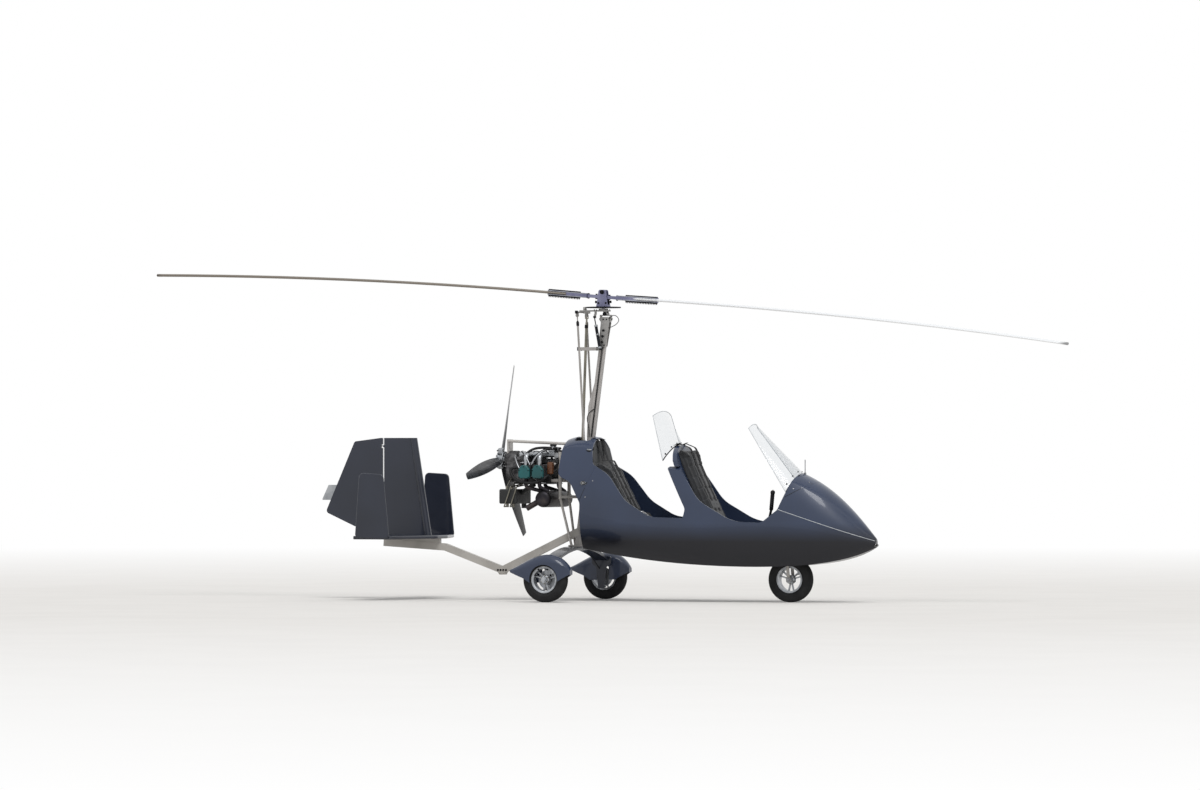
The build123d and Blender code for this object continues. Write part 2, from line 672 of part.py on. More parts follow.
def rotor_tower():
    z0 = RING_GEAR_Z + RING_GEAR_THICKNESS / 2
    y0, y1 = HUB_BAR_WIDTH / 2 + 2, HUB_BAR_WIDTH / 2 + 2 + TOWER_CHEEK
    rows = [(ROTOR_X - 54, z0, 0), (ROTOR_X + 54, z0, 0),
            (ROTOR_X + 32, TEETER_Z + 20, 16), (ROTOR_X - 32, TEETER_Z + 20, 16)]
    tower = side_plate(rows, y0, y1) + side_plate(rows, -y1, -y0)
    tower += block(ROTOR_X - 54, ROTOR_X + 54, -y1, y1, z0, z0 + 18)
    tower += rod((ROTOR_X, -y1 - 9, TEETER_Z), (ROTOR_X, y1 + 9, TEETER_Z), TEETER_BOLT)
    return tower + rod((ROTOR_X, 0, BRIDGE_Z + 2), (ROTOR_X, 0, z0), ROTOR_SHAFT)


def parked(solid):
    """Move from the teeter bolt's own frame to the parked rotor."""
    return Pos(ROTOR_X, 0, TEETER_Z) * (Rot(0, PARKED_TEETER, 0) * solid)


def arm(solid, side):
    """Turn a piece made for the forward arm to its precone, and to its own side."""
    coned = Pos(0, 0, -UNDERSLING) * (Rot(0, -PRECONE, 0) * solid)
    return coned if side > 0 else Rot(0, 0, 180) * coned


BLADE_GRIP_GAP = BLADE_THICKNESS / 2 + FIT


def hub_bar():
    half = HUB_BAR_THICKNESS / 2
    width = HUB_BAR_WIDTH / 2
    bar = block(-HUB_BAR_HALF, HUB_BAR_HALF, -width, width, -UNDERSLING - half, -UNDERSLING + half)
    bar += block(-24, 24, -width, width, -UNDERSLING, 16)
    clamp = block(HUB_BAR_HALF - 12, BLADE_ROOT - 1, -CLAMP_WIDTH / 2, CLAMP_WIDTH / 2,
                  -BLADE_GRIP_GAP - CLAMP_PLATE, BLADE_GRIP_GAP + CLAMP_PLATE)
    for z0 in (BLADE_GRIP_GAP, -BLADE_GRIP_GAP - CLAMP_PLATE):
        clamp += block(BLADE_ROOT - 1, HUB_CLAMP_END, -CLAMP_WIDTH / 2, CLAMP_WIDTH / 2, z0, z0 + CLAMP_PLATE)
    bar += arm(clamp, 1) + arm(clamp, -1)
    return parked(bar - rod((0, -50, 0), (0, 50, 0), TEETER_BOLT + FIT))


def rotor_blade(side):
    half = BLADE_THICKNESS / 2
    lead = BLADE_CHORD / 4
    tail = lead - BLADE_CHORD
    rows = [
        (lead, 0, 7), (lead - 20, half - 0.2, 25), (-15, half, 150), (tail, 0.8, 0),
        (tail, -0.8, 0), (-15, -half, 150), (lead - 20, -half + 0.2, 25),
    ]
    section = Plane.YZ.offset(BLADE_ROOT) * rounded_face(rows)
    bend = (ROTOR_RADIUS - BLADE_ROOT) ** 2 / (2 * BLADE_DROOP)
    turn = degrees((ROTOR_RADIUS - BLADE_ROOT) / bend)
    blade = revolve(section, axis=Axis((BLADE_ROOT, 0, -bend), (0, 1, 0)), revolution_arc=turn)
    return parked(arm(blade, side))


# Wheels, made on the Y axis at the origin
RIM_BARREL = 104
RIM_WALL = 6
HUB_RADIUS = 26
HUB_HALF = 50
SPOKE_WIDTH = 13
SPOKE_SPREAD = 13


def tyre():
    half = TYRE_WIDTH / 2
    rows = [
        (RIM_BARREL, -half + 12, 0), (RIM_RADIUS + 4, -half + 12, 0), (RIM_BARREL + 42, -half, 22),
        (WHEEL_RADIUS - 16, -half + 4, 14), (WHEEL_RADIUS, -half + 24, 14), (WHEEL_RADIUS, half - 24, 14),
        (WHEEL_RADIUS - 16, half - 4, 14), (RIM_BARREL + 42, half, 22), (RIM_RADIUS + 4, half - 12, 0),
        (RIM_BARREL, half - 12, 0),
    ]
    return revolve(Plane.XY * rounded_face(rows), axis=Axis.Y)


def rim(outer_side=0):
    barrel = RIM_BARREL - FIT
    half = TYRE_WIDTH / 2 - 12 + FIT
    rows = [
        (barrel - RIM_WALL, -half, 0), (RIM_RADIUS, -half - 5, 2), (RIM_RADIUS, -half, 0), (barrel, -half, 0),
        (barrel, half, 0), (RIM_RADIUS, half, 0), (RIM_RADIUS, half + 5, 2), (barrel - RIM_WALL, half, 0),
    ]
    wheel = revolve(Plane.XY * rounded_face(rows), axis=Axis.Y)
    wheel += rod((0, -HUB_HALF, 0), (0, HUB_HALF, 0), HUB_RADIUS)
    for turn in (90, 210, 330):
        for spread in (-SPOKE_SPREAD, SPOKE_SPREAD):
            prong = block(15, barrel - 2, 4, 18, -SPOKE_WIDTH / 2, SPOKE_WIDTH / 2)
            wheel += Rot(0, turn + spread, 0) * prong
    wheel -= rod((0, -HUB_HALF - 5, 0), (0, HUB_HALF + 5, 0), AXLE_RADIUS + FIT)
    if outer_side:
        cap = rod((0, outer_side * HUB_HALF, 0), (0, outer_side * (HUB_HALF + 14), 0), 19)
        disc_y = -outer_side * HUB_HALF
        disc_end = disc_y - outer_side * DISC_THICKNESS
        disc = rod((0, disc_y, 0), (0, disc_end, 0), DISC_RADIUS, AXLE_RADIUS + FIT)
        wheel += cap + disc
    return wheel


DISC_RADIUS = 84
DISC_THICKNESS = 4
WHEEL_PLACES = {"nose": (NOSE_X, 0), "left": (MAIN_X, MAIN_Y), "right": (MAIN_X, -MAIN_Y)}


def placed(solid, place):
    x, y = WHEEL_PLACES[place]
    return Pos(x, y, WHEEL_RADIUS) * solid


# Nose fork
FORK_LEG_GAP = 7
FORK_LEG = 10
FORK_LEG_WIDTH = 26
CROWN_Z = 416
TOW_PIN = 15


def nose_fork():
    leg_y = TYRE_WIDTH / 2 + FORK_LEG_GAP
    half = FORK_LEG_WIDTH / 2
    crown_x = steer_point(CROWN_Z)[0]
    fork = block(crown_x - 28, crown_x + 28, -leg_y - FORK_LEG, leg_y + FORK_LEG, CROWN_Z, CROWN_Z + 22)
    for side in (-1, 1):
        y0, y1 = sorted((side * leg_y, side * (leg_y + FORK_LEG)))
        rows = [(NOSE_X - half, WHEEL_RADIUS, 0), (NOSE_X + half, WHEEL_RADIUS, 0),
                (crown_x + half, CROWN_Z + 10, 0), (crown_x - half, CROWN_Z + 10, 0)]
        fork += side_plate(rows, y0, y1)
        fork += rod((NOSE_X, y0, WHEEL_RADIUS), (NOSE_X, y1, WHEEL_RADIUS), 20)
    fork += steering_rod(STEER_TUBE, CROWN_Z + 10, WELL_TOP + 96)
    pin = leg_y + FORK_LEG + TOW_PIN
    return fork + rod((NOSE_X, -pin, WHEEL_RADIUS), (NOSE_X, pin, WHEEL_RADIUS), AXLE_RADIUS)


# Main gear: one bow of glass fibre, steel brackets at its tips, axles and brake calipers
BOW_HALF_SPAN = 640
BRACKET_PLATE = 12


def main_gear():
    drop = BOW_TOP_Z - BOW_TIP_Z - BOW_THICKNESS / 2
    top, low = BOW_TOP_Z, BOW_TOP_Z - BOW_THICKNESS
    edges = [
        ThreePointArc((-BOW_HALF_SPAN, top - drop), (0, top), (BOW_HALF_SPAN, top - drop)),
        Line((BOW_HALF_SPAN, top - drop), (BOW_HALF_SPAN, low - drop)),
        ThreePointArc((BOW_HALF_SPAN, low - drop), (0, low), (-BOW_HALF_SPAN, low - drop)),
        Line((-BOW_HALF_SPAN, low - drop), (-BOW_HALF_SPAN, top - drop)),
    ]
    plane = Plane.YZ.offset(MAIN_X - BOW_WIDTH / 2)
    bow = extrude(plane * make_face(Curve() + edges), BOW_WIDTH)
    y0 = BOW_HALF_SPAN
    y1 = y0 + BRACKET_PLATE
    x = MAIN_X
    rows = [
        (x - 88, BOW_TIP_Z + 22, 10), (x - 88, BOW_TIP_Z - 42, 10), (x - 46, BOW_TIP_Z - 70, 20),
        (x - 30, 96, 12), (x + 30, 96, 12), (x + 46, BOW_TIP_Z - 70, 20),
        (x + 88, BOW_TIP_Z - 42, 10), (x + 88, BOW_TIP_Z + 22, 10),
    ]
    half = side_plate(rows, y0, y1)
    half += rod((x, y0, WHEEL_RADIUS), (x, MAIN_Y + HUB_HALF - 2, WHEEL_RADIUS), AXLE_RADIUS)
    half += rod((x, y1, WHEEL_RADIUS), (x, MAIN_Y - HUB_HALF - DISC_THICKNESS - 6, WHEEL_RADIUS), 16)
    inner_wall = MAIN_Y - SPAT_HALF_WIDTH / 2
    for stud in (-70, 70):
        half += rod((x + stud, y1, BOW_TIP_Z - 18), (x + stud, inner_wall, BOW_TIP_Z - 18), 10) - spat_outer()
    disc_y = MAIN_Y - HUB_HALF - DISC_THICKNESS / 2
    caliper = block(x - 24, x + 24, y1, disc_y + 6, 102, 128)
    caliper -= block(x - 60, x + 60, disc_y - 4, disc_y + 4, WHEEL_RADIUS - DISC_RADIUS - 4, 200)
    half += caliper
    return bow + half + mirrored(half)


# Spats: rows of x from the axle, shoulder z, top z, half width
SPAT_STATIONS = [
    (232, 268, 286, 34),
    (170, 318, 360, 62),
    (0, 340, 409, SPAT_HALF_WIDTH),
    (-180, 296, 350, 58),
    (-326, 268, 278, 9),
]
SPAT_BOTTOM = 140
SPAT_EDGE = [
    (260, 500, 0), (260, 240, 0), (222, 237, 0), (115, 172, 10), (-125, 167, 10),
    (-185, 205, 30), (-340, 262, 0), (-340, 500, 0),
]


def spat_section(row, inset):
    x, shoulder, top, half = row
    half, top, shoulder = half - inset, top - inset, shoulder - inset
    edges = [
        Line((-half, SPAT_BOTTOM), (half, SPAT_BOTTOM)),
        Line((half, SPAT_BOTTOM), (half, shoulder)),
        ThreePointArc((half, shoulder), (0, top), (-half, shoulder)),
        Line((-half, shoulder), (-half, SPAT_BOTTOM)),
    ]
    return Plane.YZ.offset(x + MAIN_X) * make_face(Curve() + edges)


def spat_outer():
    return Pos(0, MAIN_Y, 0) * loft([spat_section(row, 0) for row in SPAT_STATIONS])


def left_spat():
    inset_rows = [(max(min(row[0], 228), -318), *row[1:]) for row in SPAT_STATIONS]
    inner = Pos(0, MAIN_Y, 0) * loft([spat_section(row, SPAT_WALL) for row in inset_rows])
    edge = [(x + MAIN_X, z, r) for x, z, r in SPAT_EDGE]
    shell = (spat_outer() - inner) & side_plate(edge, MAIN_Y - 200, MAIN_Y + 200)
    arch = rod((MAIN_X, MAIN_Y + 20, WHEEL_RADIUS), (MAIN_X, MAIN_Y + 200, WHEEL_RADIUS), 128)
    slot = block(MAIN_X - 56, MAIN_X + 56, MAIN_Y - 200, MAIN_Y - 20, 0, BOW_TIP_Z + 6)
    return shell - arch - slot


# Tail boom and tail surfaces
BOOM_PATH = [(-205, 603), (-917, 262), (-1449, 459), (-2026, 497)]
STAB_BOTTOM = 532
END_FIN_ROWS = [(-1990, 548, 30), (-1673, 540, 30), (-1727, 1095, 40), (-1950, 1108, 40)]
FIN_TOP = 1412
HINGE_PIN = 4
HINGE_LUG = 8
LUG_HEIGHTS = (660, 1000, 1330)
RUDDER_ROWS = [
    (HINGE_X - 8, 548, 6), (HINGE_X - 8, 1414, 10), (-2306, 1381, 25), (-2582, 762, 30), (-2310, 640, 60),
]
RUDDER_TAB = [(-2618, 868, 6), (-2470, 868, 0), (-2440, 1000, 0), (-2556, 1000, 6)]


def tail_boom():
    half_depth, half_width = BOOM_DEPTH / 2, BOOM_WIDTH / 2
    (x0, z0), (x1, z1) = BOOM_PATH[-2:]
    longer = BOOM_PATH[:-1] + [(x1 - 50, z1 + 50 * (z1 - z0) / (x0 - x1))]
    bar = side_plate(band(BOOM_PATH, half_depth), -half_width, half_width)
    hollow = side_plate(band(longer, half_depth - TUBE_WALL), -half_width + TUBE_WALL, half_width - TUBE_WALL)
    wedge = side_plate([(-1500, 475, 0), (-1500, STAB_BOTTOM, 0), (-2015, STAB_BOTTOM, 0), (-2015, 510, 0)],
                       -half_width + 4, half_width - 4)
    front = block(mast_x(600), 200, -100, 100, 300, 900)
    skid = side_plate([(-960, 250, 0), (-945, 222, 4), (-890, 222, 4), (-875, 250, 0)], -20, 20)
    return (bar - hollow) + (wedge - bar) + (skid - bar) - mast_outer() - front


def stabiliser():
    tip = STAB_HALF_SPAN - END_FIN_THICKNESS / 2
    rows = [
        (-1480, -120, 60), (-1480, 120, 60), (-1673, tip, 0),
        (-2010, tip, 0), (-2010, -tip, 0), (-1673, -tip, 0),
    ]
    plate = floor_plate(rows, STAB_BOTTOM, STAB_BOTTOM + TAIL_THICKNESS)
    edges = plate.edges().group_by(Axis.Z)[0] + plate.edges().group_by(Axis.Z)[-1]
    front = [edge for edge in edges if edge.center().X > -1900]
    return fillet(front, TAIL_THICKNESS / 2 - 2)


def centre_fin():
    top = STAB_BOTTOM + TAIL_THICKNESS
    rear = HINGE_X + HINGE_LUG
    half = FIN_THICKNESS / 2
    def section(z, lead):
        plane = Plane.XY.offset(z)
        edges = [
            ThreePointArc((lead - 60, half), (lead, 0), (lead - 60, -half)),
            Line((lead - 60, -half), (rear, -half + 2)),
            Line((rear, -half + 2), (rear, half - 2)),
            Line((rear, half - 2), (lead - 60, half)),
        ]
        return plane * make_face(Curve() + edges)
    fin = loft([section(top, -1585), section(FIN_TOP, -1721)], ruled=True)
    for z in LUG_HEIGHTS:
        lug = block(HINGE_X, rear + 2, -8, 8, z, z + HINGE_LUG)
        lug += rod((HINGE_X, 0, z), (HINGE_X, 0, z + HINGE_LUG), 8)
        fin += lug + rod((HINGE_X, 0, z), (HINGE_X, 0, z + 2 * HINGE_LUG + 3), HINGE_PIN)
    return fin


def left_fin():
    half = END_FIN_THICKNESS / 2
    fin = side_plate(END_FIN_ROWS, -half, half)
    fin = fillet(fin.faces().sort_by(Axis.Y)[0].edges() + fin.faces().sort_by(Axis.Y)[-1].edges(), half - 2)
    return Pos(0, STAB_HALF_SPAN, 0) * fin


def rudder():
    half = FIN_THICKNESS / 2 - 2
    wedge = floor_plate([(HINGE_X - 8, -half, 4), (HINGE_X - 120, -half, 0), (-2640, -1.5, 0),
                         (-2640, 1.5, 0), (HINGE_X - 120, half, 0), (HINGE_X - 8, half, 4)], 400, 1500)
    blade = side_plate(RUDDER_ROWS, -50, 50) & wedge
    for z in LUG_HEIGHTS:
        low = z + HINGE_LUG + 0.5
        blade -= block(HINGE_X - 22, HINGE_X, -50, 50, z - 6, z + 2 * HINGE_LUG + 8)
        lug = block(HINGE_X - 24, HINGE_X, -8, 8, low, low + HINGE_LUG)
        lug += rod((HINGE_X, 0, low), (HINGE_X, 0, low + HINGE_LUG), 8)
        blade += lug - rod((HINGE_X, 0, low - 5), (HINGE_X, 0, low + 20), HINGE_PIN + 0.2)
    return blade


def rudder_tab():
    return side_plate(RUDDER_TAB, -1.5, 1.5) - rudder()


# Engine: crankcase, four cylinders, reduction gearbox
CASE_X = (-770, -430)
CASE_TOP = 1222
HEAD_Y = 215
COVER_HALF = 52
GEARBOX_RADIUS = 72


def engine_block():
    case = front_plate([(-115, 1010, 20), (115, 1010, 20), (115, 1175, 30), (70, CASE_TOP, 20),
                        (-70, CASE_TOP, 20), (-115, 1175, 30)], *CASE_X)
    for x in CYLINDER_X:
        for side in (-1, 1):
            case += rod((x, side * 90, CRANK_Z), (x, side * (HEAD_Y + 5), CRANK_Z), 46)
            for fin in range(6):
                y = side * (122 + 15 * fin)
                case += rod((x, y, CRANK_Z), (x, y + side * 4, CRANK_Z), 58)
            y0, y1 = sorted((side * HEAD_Y, side * (VALVE_COVER_Y - 30)))
            case += block(x - COVER_HALF, x + COVER_HALF, y0, y1, CRANK_Z - 56, CRANK_Z + 56)
    gearbox = rod((CASE_X[0], 0, PROP_Z), (CASE_X[0] - 100, 0, PROP_Z), GEARBOX_RADIUS)
    gearbox += rod((CASE_X[0], 0, CRANK_Z), (CASE_X[0] - 85, 0, CRANK_Z), 88)
    gearbox += block(CASE_X[0] - 85, CASE_X[0], -68, 68, CRANK_Z, PROP_Z)
    return case + gearbox - rod((-900, 0, PROP_Z), (-790, 0, PROP_Z), PROP_SHAFT + FIT)


def valve_covers():
    covers = []
    rows = [
        (-COVER_HALF, -56, 12), (COVER_HALF, -56, 12), (COVER_HALF, 20, 26),
        (24, 58, 26), (-24, 58, 26), (-COVER_HALF, 20, 26),
    ]
    for x in CYLINDER_X:
        for side in (-1, 1):
            y0, y1 = sorted((side * (VALVE_COVER_Y - 30), side * VALVE_COVER_Y))
            cover = side_plate([(x + dx, CRANK_Z + dz, r) for dx, dz, r in rows], y0, y1)
            outer_face = cover.faces().sort_by(Axis.Y)[-1 if side > 0 else 0]
            covers.append(fillet(outer_face.edges(), 10))
    return Compound(covers)


def bent_tube(points, radius, tube_radius):
    path = FilletPolyline(*points, radius=radius)
    start = Plane(origin=path @ 0, z_dir=path % 0)
    return sweep(start * Circle(tube_radius), path)


PLENUM_Z = (1240, 1290)


def intake_pipes():
    plenum = block(CASE_X[0] + 30, CASE_X[1] + 10, -62, 62, *PLENUM_Z)
    plenum = fillet(plenum.edges().filter_by(Axis.X), 18)
    plenum += block(-640, -560, -40, 40, CASE_TOP, PLENUM_Z[0])
    for x in CYLINDER_X:
        for side in (-1, 1):
            bend = (x, side * 238, 1262)
            plenum += bent_tube([(x, side * 50, 1262), bend, (x, side * 238, CRANK_Z + 56)], 45, 20)
    return plenum


# Exhaust: headers, the cross canister, and the black rear silencer on its rubber bobbins
CAN_X, CAN_Z, CAN_RADIUS, CAN_HALF = -443, 882, 72, 300
CAN_WALL = 2
SILENCER = {"x": (-856, -692), "y": (-262, 100), "z": (840, 967)}


def exhaust_system():
    can = rod((CAN_X, -CAN_HALF, CAN_Z), (CAN_X, CAN_HALF, CAN_Z), CAN_RADIUS)
    can = fillet(can.edges(), 36)
    hollow_end = CAN_HALF - CAN_WALL
    hollow = rod((CAN_X, -hollow_end, CAN_Z), (CAN_X, hollow_end, CAN_Z), CAN_RADIUS - CAN_WALL)
    hollow = fillet(hollow.edges(), 34)
    pipe_start, pipe_end = (CAN_X - 40, -215, CAN_Z - 10), (CAN_X - 165, -235, 800)
    can += rod(pipe_start, pipe_end, 25)
    can -= hollow
    can -= rod(pipe_start, along(pipe_start, pipe_end, 300), 22)
    for x in CYLINDER_X:
        for side in (-1, 1):
            start = (x, side * 238, CRANK_Z - 56)
            knee = (x, side * 238, 985)
            end = (CAN_X + (x + 551) * 0.4, side * 200, CAN_Z + CAN_RADIUS - 8)
            can += bent_tube([start, knee, end], 30, 17) - hollow
    return can


def rear_silencer():
    x0, x1 = SILENCER["x"]
    y0, y1 = SILENCER["y"]
    z0, z1 = SILENCER["z"]
    box = fillet(block(x0, x1, y0, y1, z0, z1).edges(), 14)
    inside = fillet(block(x0 + 3, x1 - 3, y0 + 3, y1 - 3, z0 + 3, z1 - 3).edges(), 11)
    outlet = rod((x1 - 45, 40, z0 - 40), (x1 - 45, 40, z0 + 20), 22)
    inlet = rod((x1 - 20, -120, z1 - 40), (x1 + 130, -170, z1 + 40), 20)
    box += outlet + inlet
    bores = rod((x1 - 45, 40, z0 - 60), (x1 - 45, 40, z0 + 60), 19)
    return box - inside - bores


# Rows: x and y of each bobbin, z of its near face, direction, and the strut's other end
BOBBINS = [
    (-807, -190, "top", (-812, -70, 1062)),
    (-762, -190, "top", (-762, -90, 1022)),
    (-800, -200, "bottom", (-690, -120, 1011)),
    (-745, -200, "bottom", (-640, -105, 1011)),
]


def silencer_mounts():
    z0, z1 = SILENCER["z"]
    parts = []
    for x, y, face, anchor in BOBBINS:
        near, far = (z1, z1 + 24) if face == "top" else (z0, z0 - 30)
        foot = (x, y, far)
        piece = rod((x, y, near), foot, 13)
        if face == "bottom":
            knee = (x, SILENCER["y"][0] - 16, far + 6)
            high = (x + 60, SILENCER["y"][0] - 16, z1 + 20)
            piece += rod((x, y, far + 6), knee, 6) + Pos(*knee) * Sphere(6)
            piece += rod(knee, high, 6) + Pos(*high) * Sphere(6) + rod(high, anchor, 6)
        else:
            piece += rod((x, y, far - 6), anchor, 6)
        parts.append(piece)
    engine = engine_block()
    return Compound([solid for part in parts for solid in (part - engine).solids()])


# Engine mount frame and upper stays
MOUNT_X = -345
MOUNT_Y = 112
STAY_Y = 46
LOW_STAY_FOOT = (-262, 45)


def engine_mount():
    pieces = rod((MOUNT_X, -MOUNT_Y, 1180), (MOUNT_X, MOUNT_Y, 1180), 13)
    pieces += rod((MOUNT_X, -MOUNT_Y, 1040), (MOUNT_X, MOUNT_Y, 1040), 13)
    for side in (-1, 1):
        y = side * MOUNT_Y
        pieces += rod((MOUNT_X, y, 880), (MOUNT_X, y, 1290), 15)
        for z in (1040, 1180):
            pieces += rod((MOUNT_X, side * 90, z), (CASE_X[1], side * 90, z), 14)
        for z in (900, 1200):
            aft = mast_x(z) - MAST_DEPTH / 2 + 6
            pieces += rod((MOUNT_X, y, z), (aft, side * 8, z), 13)
        foot_x, foot_y = LOW_STAY_FOOT
        low_stay = rod((MOUNT_X, y, 892), (foot_x, side * foot_y, BOW_TOP_Z), 11)
        pieces += low_stay - block(-400, 0, -200, 200, 300, BOW_TOP_Z + MAST_PAD)
    stays = block(-858, -846, -STAY_Y - 12, STAY_Y + 12, PROP_Z + 50, 1398)
    stays -= rod((-900, 0, PROP_Z), (-800, 0, PROP_Z), GEARBOX_RADIUS)
    for side in (-1, 1):
        y = side * STAY_Y
        stays += rod((-850, y, 1384), (mast_x(1350), y, 1350), 12)
        stays += rod((mast_x(1350), y, 1350), (mast_x(1350), side * MAST_WIDTH / 2, 1350), 10)
    cut = mast_outer()
    gusset = side_plate([(-400, 1220, 0), (0, 1220, 0), (0, 1930, 0), (-400, 1930, 0)], -8, 8)
    return Compound([solid for part in (pieces - cut - gusset, stays - cut) for solid in part.solids()])


# Propeller
PROP_SHAFT = 20
PROP_TURNS = (-20, 100, 220)
# Rows: radius, chord, thickness, pitch in degrees
PROP_SECTIONS = [(36, 56, 30, 42), (210, 92, 20, 33), (520, 104, 13, 22), (PROP_RADIUS, 56, 6, 14)]


def propeller_hub():
    x0 = PROP_X - PROP_HUB_LENGTH / 2
    x1 = PROP_X + PROP_HUB_LENGTH / 2
    hub = rod((x0, 0, PROP_Z), (x1, 0, PROP_Z), PROP_HUB_RADIUS)
    return fillet(hub.edges(), 6) + rod((x1 - 10, 0, PROP_Z), (-800, 0, PROP_Z), PROP_SHAFT)


def propeller_blades():
    def section(radius, chord, thickness, pitch):
        edges = [
            ThreePointArc((-chord / 2, 0), (0, thickness * 0.65), (chord / 2, 0)),
            ThreePointArc((chord / 2, 0), (0, -thickness * 0.35), (-chord / 2, 0)),
        ]
        return Pos(0, 0, radius) * (Rot(0, 0, 90 + pitch) * make_face(Curve() + edges))
    one = loft([section(*row) for row in PROP_SECTIONS])
    hub = propeller_hub()
    blades = []
    for turn in PROP_TURNS:
        blade = Pos(PROP_X, 0, PROP_Z) * (Rot(turn, 0, 0) * one)
        blades += (blade - hub).solids()
    return Compound(blades)


NODES = {
    "hull_tub": hull_tub,
    "wheel_well": wheel_well,
    "nose_cowl": nose_cowl,
    "instrument_pod": instrument_pod,
    "rear_cowl": rear_cowl,
    "frame_keel": frame_keel,
    "front_windscreen": lambda: windscreen(FRONT_SCREEN),
    "rear_windscreen": lambda: windscreen(REAR_SCREEN) - seat_crown(),
    "front_seat_shell": front_seat_shell,
    "front_cushions": front_cushions,
    "rear_seat_shell": rear_seat_shell,
    "rear_cushions": rear_cushions,
    "instrument_panel": instrument_panel,
    "cockpit_controls": cockpit_controls,
    "position_lights": position_lights,
    "pitot_tube": pitot_tube,
    "mast": mast,
    "mast_head": mast_head,
    "trim_cylinder": trim_cylinder,
    "gimbal": gimbal,
    "head_bridge": head_bridge,
    "rod_ball_left": lambda: rod_ball(1),
    "rod_ball_right": lambda: rod_ball(-1),
    "control_rod_left": lambda: control_rod(1),
    "control_rod_right": lambda: control_rod(-1),
    "shaft_cross": shaft_cross,
    "prerotator_shaft": prerotator_shaft,
    "ring_gear": ring_gear,
    "rotor_tower": rotor_tower,
    "hub_bar": hub_bar,
    "rotor_blades": lambda: Compound([rotor_blade(1), rotor_blade(-1)]),
    "nose_fork": nose_fork,
    "nose_tyre": lambda: placed(tyre(), "nose"),
    "nose_rim": lambda: placed(rim(), "nose"),
    "left_tyre": lambda: placed(tyre(), "left"),
    "left_rim": lambda: placed(rim(1), "left"),
    "right_tyre": lambda: placed(tyre(), "right"),
    "right_rim": lambda: placed(rim(-1), "right"),
    "main_gear": main_gear,
    "wheel_spats": lambda: both_sides(left_spat()),
    "tail_boom": tail_boom,
    "stabiliser": stabiliser,
    "centre_fin": centre_fin,
    "end_fins": lambda: both_sides(left_fin()),
    "rudder": rudder,
    "rudder_tab": rudder_tab,
    "engine_block": engine_block,
    "valve_covers": valve_covers,
    "intake_pipes": intake_pipes,
    "exhaust_system": exhaust_system,
    "rear_silencer": rear_silencer,
    "silencer_mounts": silencer_mounts,
    "engine_mount": engine_mount,
    "propeller_hub": propeller_hub,
    "propeller_blades": propeller_blades,
}

os.makedirs("parts", exist_ok=True)
for name, make in NODES.items():
    export_step(make(), f"parts/{name}.step")
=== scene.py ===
# %% [markdown]
# An open tandem gyrocopter, dressed for the render. The solids come from the
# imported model, already in place, in metres: X forward, Y to port, Z up. This
# lesson keeps the solids whose shape is right and gives them real finishes,
# and adds the detail that a drawing leaves out, such as stitched cushions,
# bolts, hoses, dials and tyre ribs.

# %% Load the frame
from math import atan, cos, pi, radians, sin

import bmesh
import bpy
from mathutils import Matrix, Vector
from mathutils.bvhtree import BVHTree


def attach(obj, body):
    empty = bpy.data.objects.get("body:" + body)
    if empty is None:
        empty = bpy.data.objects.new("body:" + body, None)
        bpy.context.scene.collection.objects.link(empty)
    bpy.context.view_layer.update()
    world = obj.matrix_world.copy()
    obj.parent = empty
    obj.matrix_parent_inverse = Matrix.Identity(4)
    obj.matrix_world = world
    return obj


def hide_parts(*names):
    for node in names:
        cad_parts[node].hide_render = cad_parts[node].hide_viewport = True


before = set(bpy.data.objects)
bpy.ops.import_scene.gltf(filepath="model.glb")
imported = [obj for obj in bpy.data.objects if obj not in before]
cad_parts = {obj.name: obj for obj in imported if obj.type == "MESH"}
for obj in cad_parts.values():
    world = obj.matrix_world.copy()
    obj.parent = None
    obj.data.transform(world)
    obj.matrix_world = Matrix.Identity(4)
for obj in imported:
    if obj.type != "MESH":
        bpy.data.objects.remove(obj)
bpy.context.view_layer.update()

# %% [markdown]
# The photograph was taken from far away with a long lens, a little ahead of
# the starboard beam and from about chest height. A long lens flattens depth,
# so the far spat looks as large as the near one. The camera stands on that
# line of sight, and its lens gives the photograph's scale.

# %% Camera
VIEW_TURN = radians(20)
VIEW_DISTANCE = 59.55
VIEW_HEIGHT = 1.28
PIXELS_WIDE = 1200
FOCAL_PIXELS = 6877
SENSOR_MM = 36

camera_data = bpy.data.cameras.new("camera")
camera_data.sensor_width = SENSOR_MM
camera_data.lens = SENSOR_MM * FOCAL_PIXELS / PIXELS_WIDE
camera_data.shift_x = -2 / PIXELS_WIDE
camera_data.clip_end = 200
camera = bpy.data.objects.new("camera", camera_data)
bpy.context.collection.objects.link(camera)
camera.location = (VIEW_DISTANCE * sin(VIEW_TURN), -VIEW_DISTANCE * cos(VIEW_TURN), VIEW_HEIGHT)
camera.rotation_euler = (radians(90 + 0.483), 0, VIEW_TURN)
bpy.context.scene.camera = camera
print("lens", round(camera_data.lens, 1), "mm")

# %% [markdown]
# A colour is easiest to name as the hex value that a screen shows, but the
# renderer adds light in linear values. One function turns the first into the
# second. Another adds a shader node with its settings and its links, so that
# each finish below reads as a short recipe.

# %% Colour and node helpers
def linear(hex_colour):
    parts = [int(hex_colour[i:i + 2], 16) / 255 for i in (1, 3, 5)]
    return tuple(c / 12.92 if c <= 0.04045 else ((c + 0.055) / 1.055) ** 2.4 for c in parts) + (1,)


def add_node(material, kind, links=(), **settings):
    node = material.node_tree.nodes.new("ShaderNode" + kind)
    for key, value in settings.items():
        if hasattr(node, key):
            setattr(node, key, value)
        else:
            node.inputs[key.replace("_", " ")].default_value = value
    for source, target in links:
        material.node_tree.links.new(source, node.inputs[target])
    return node


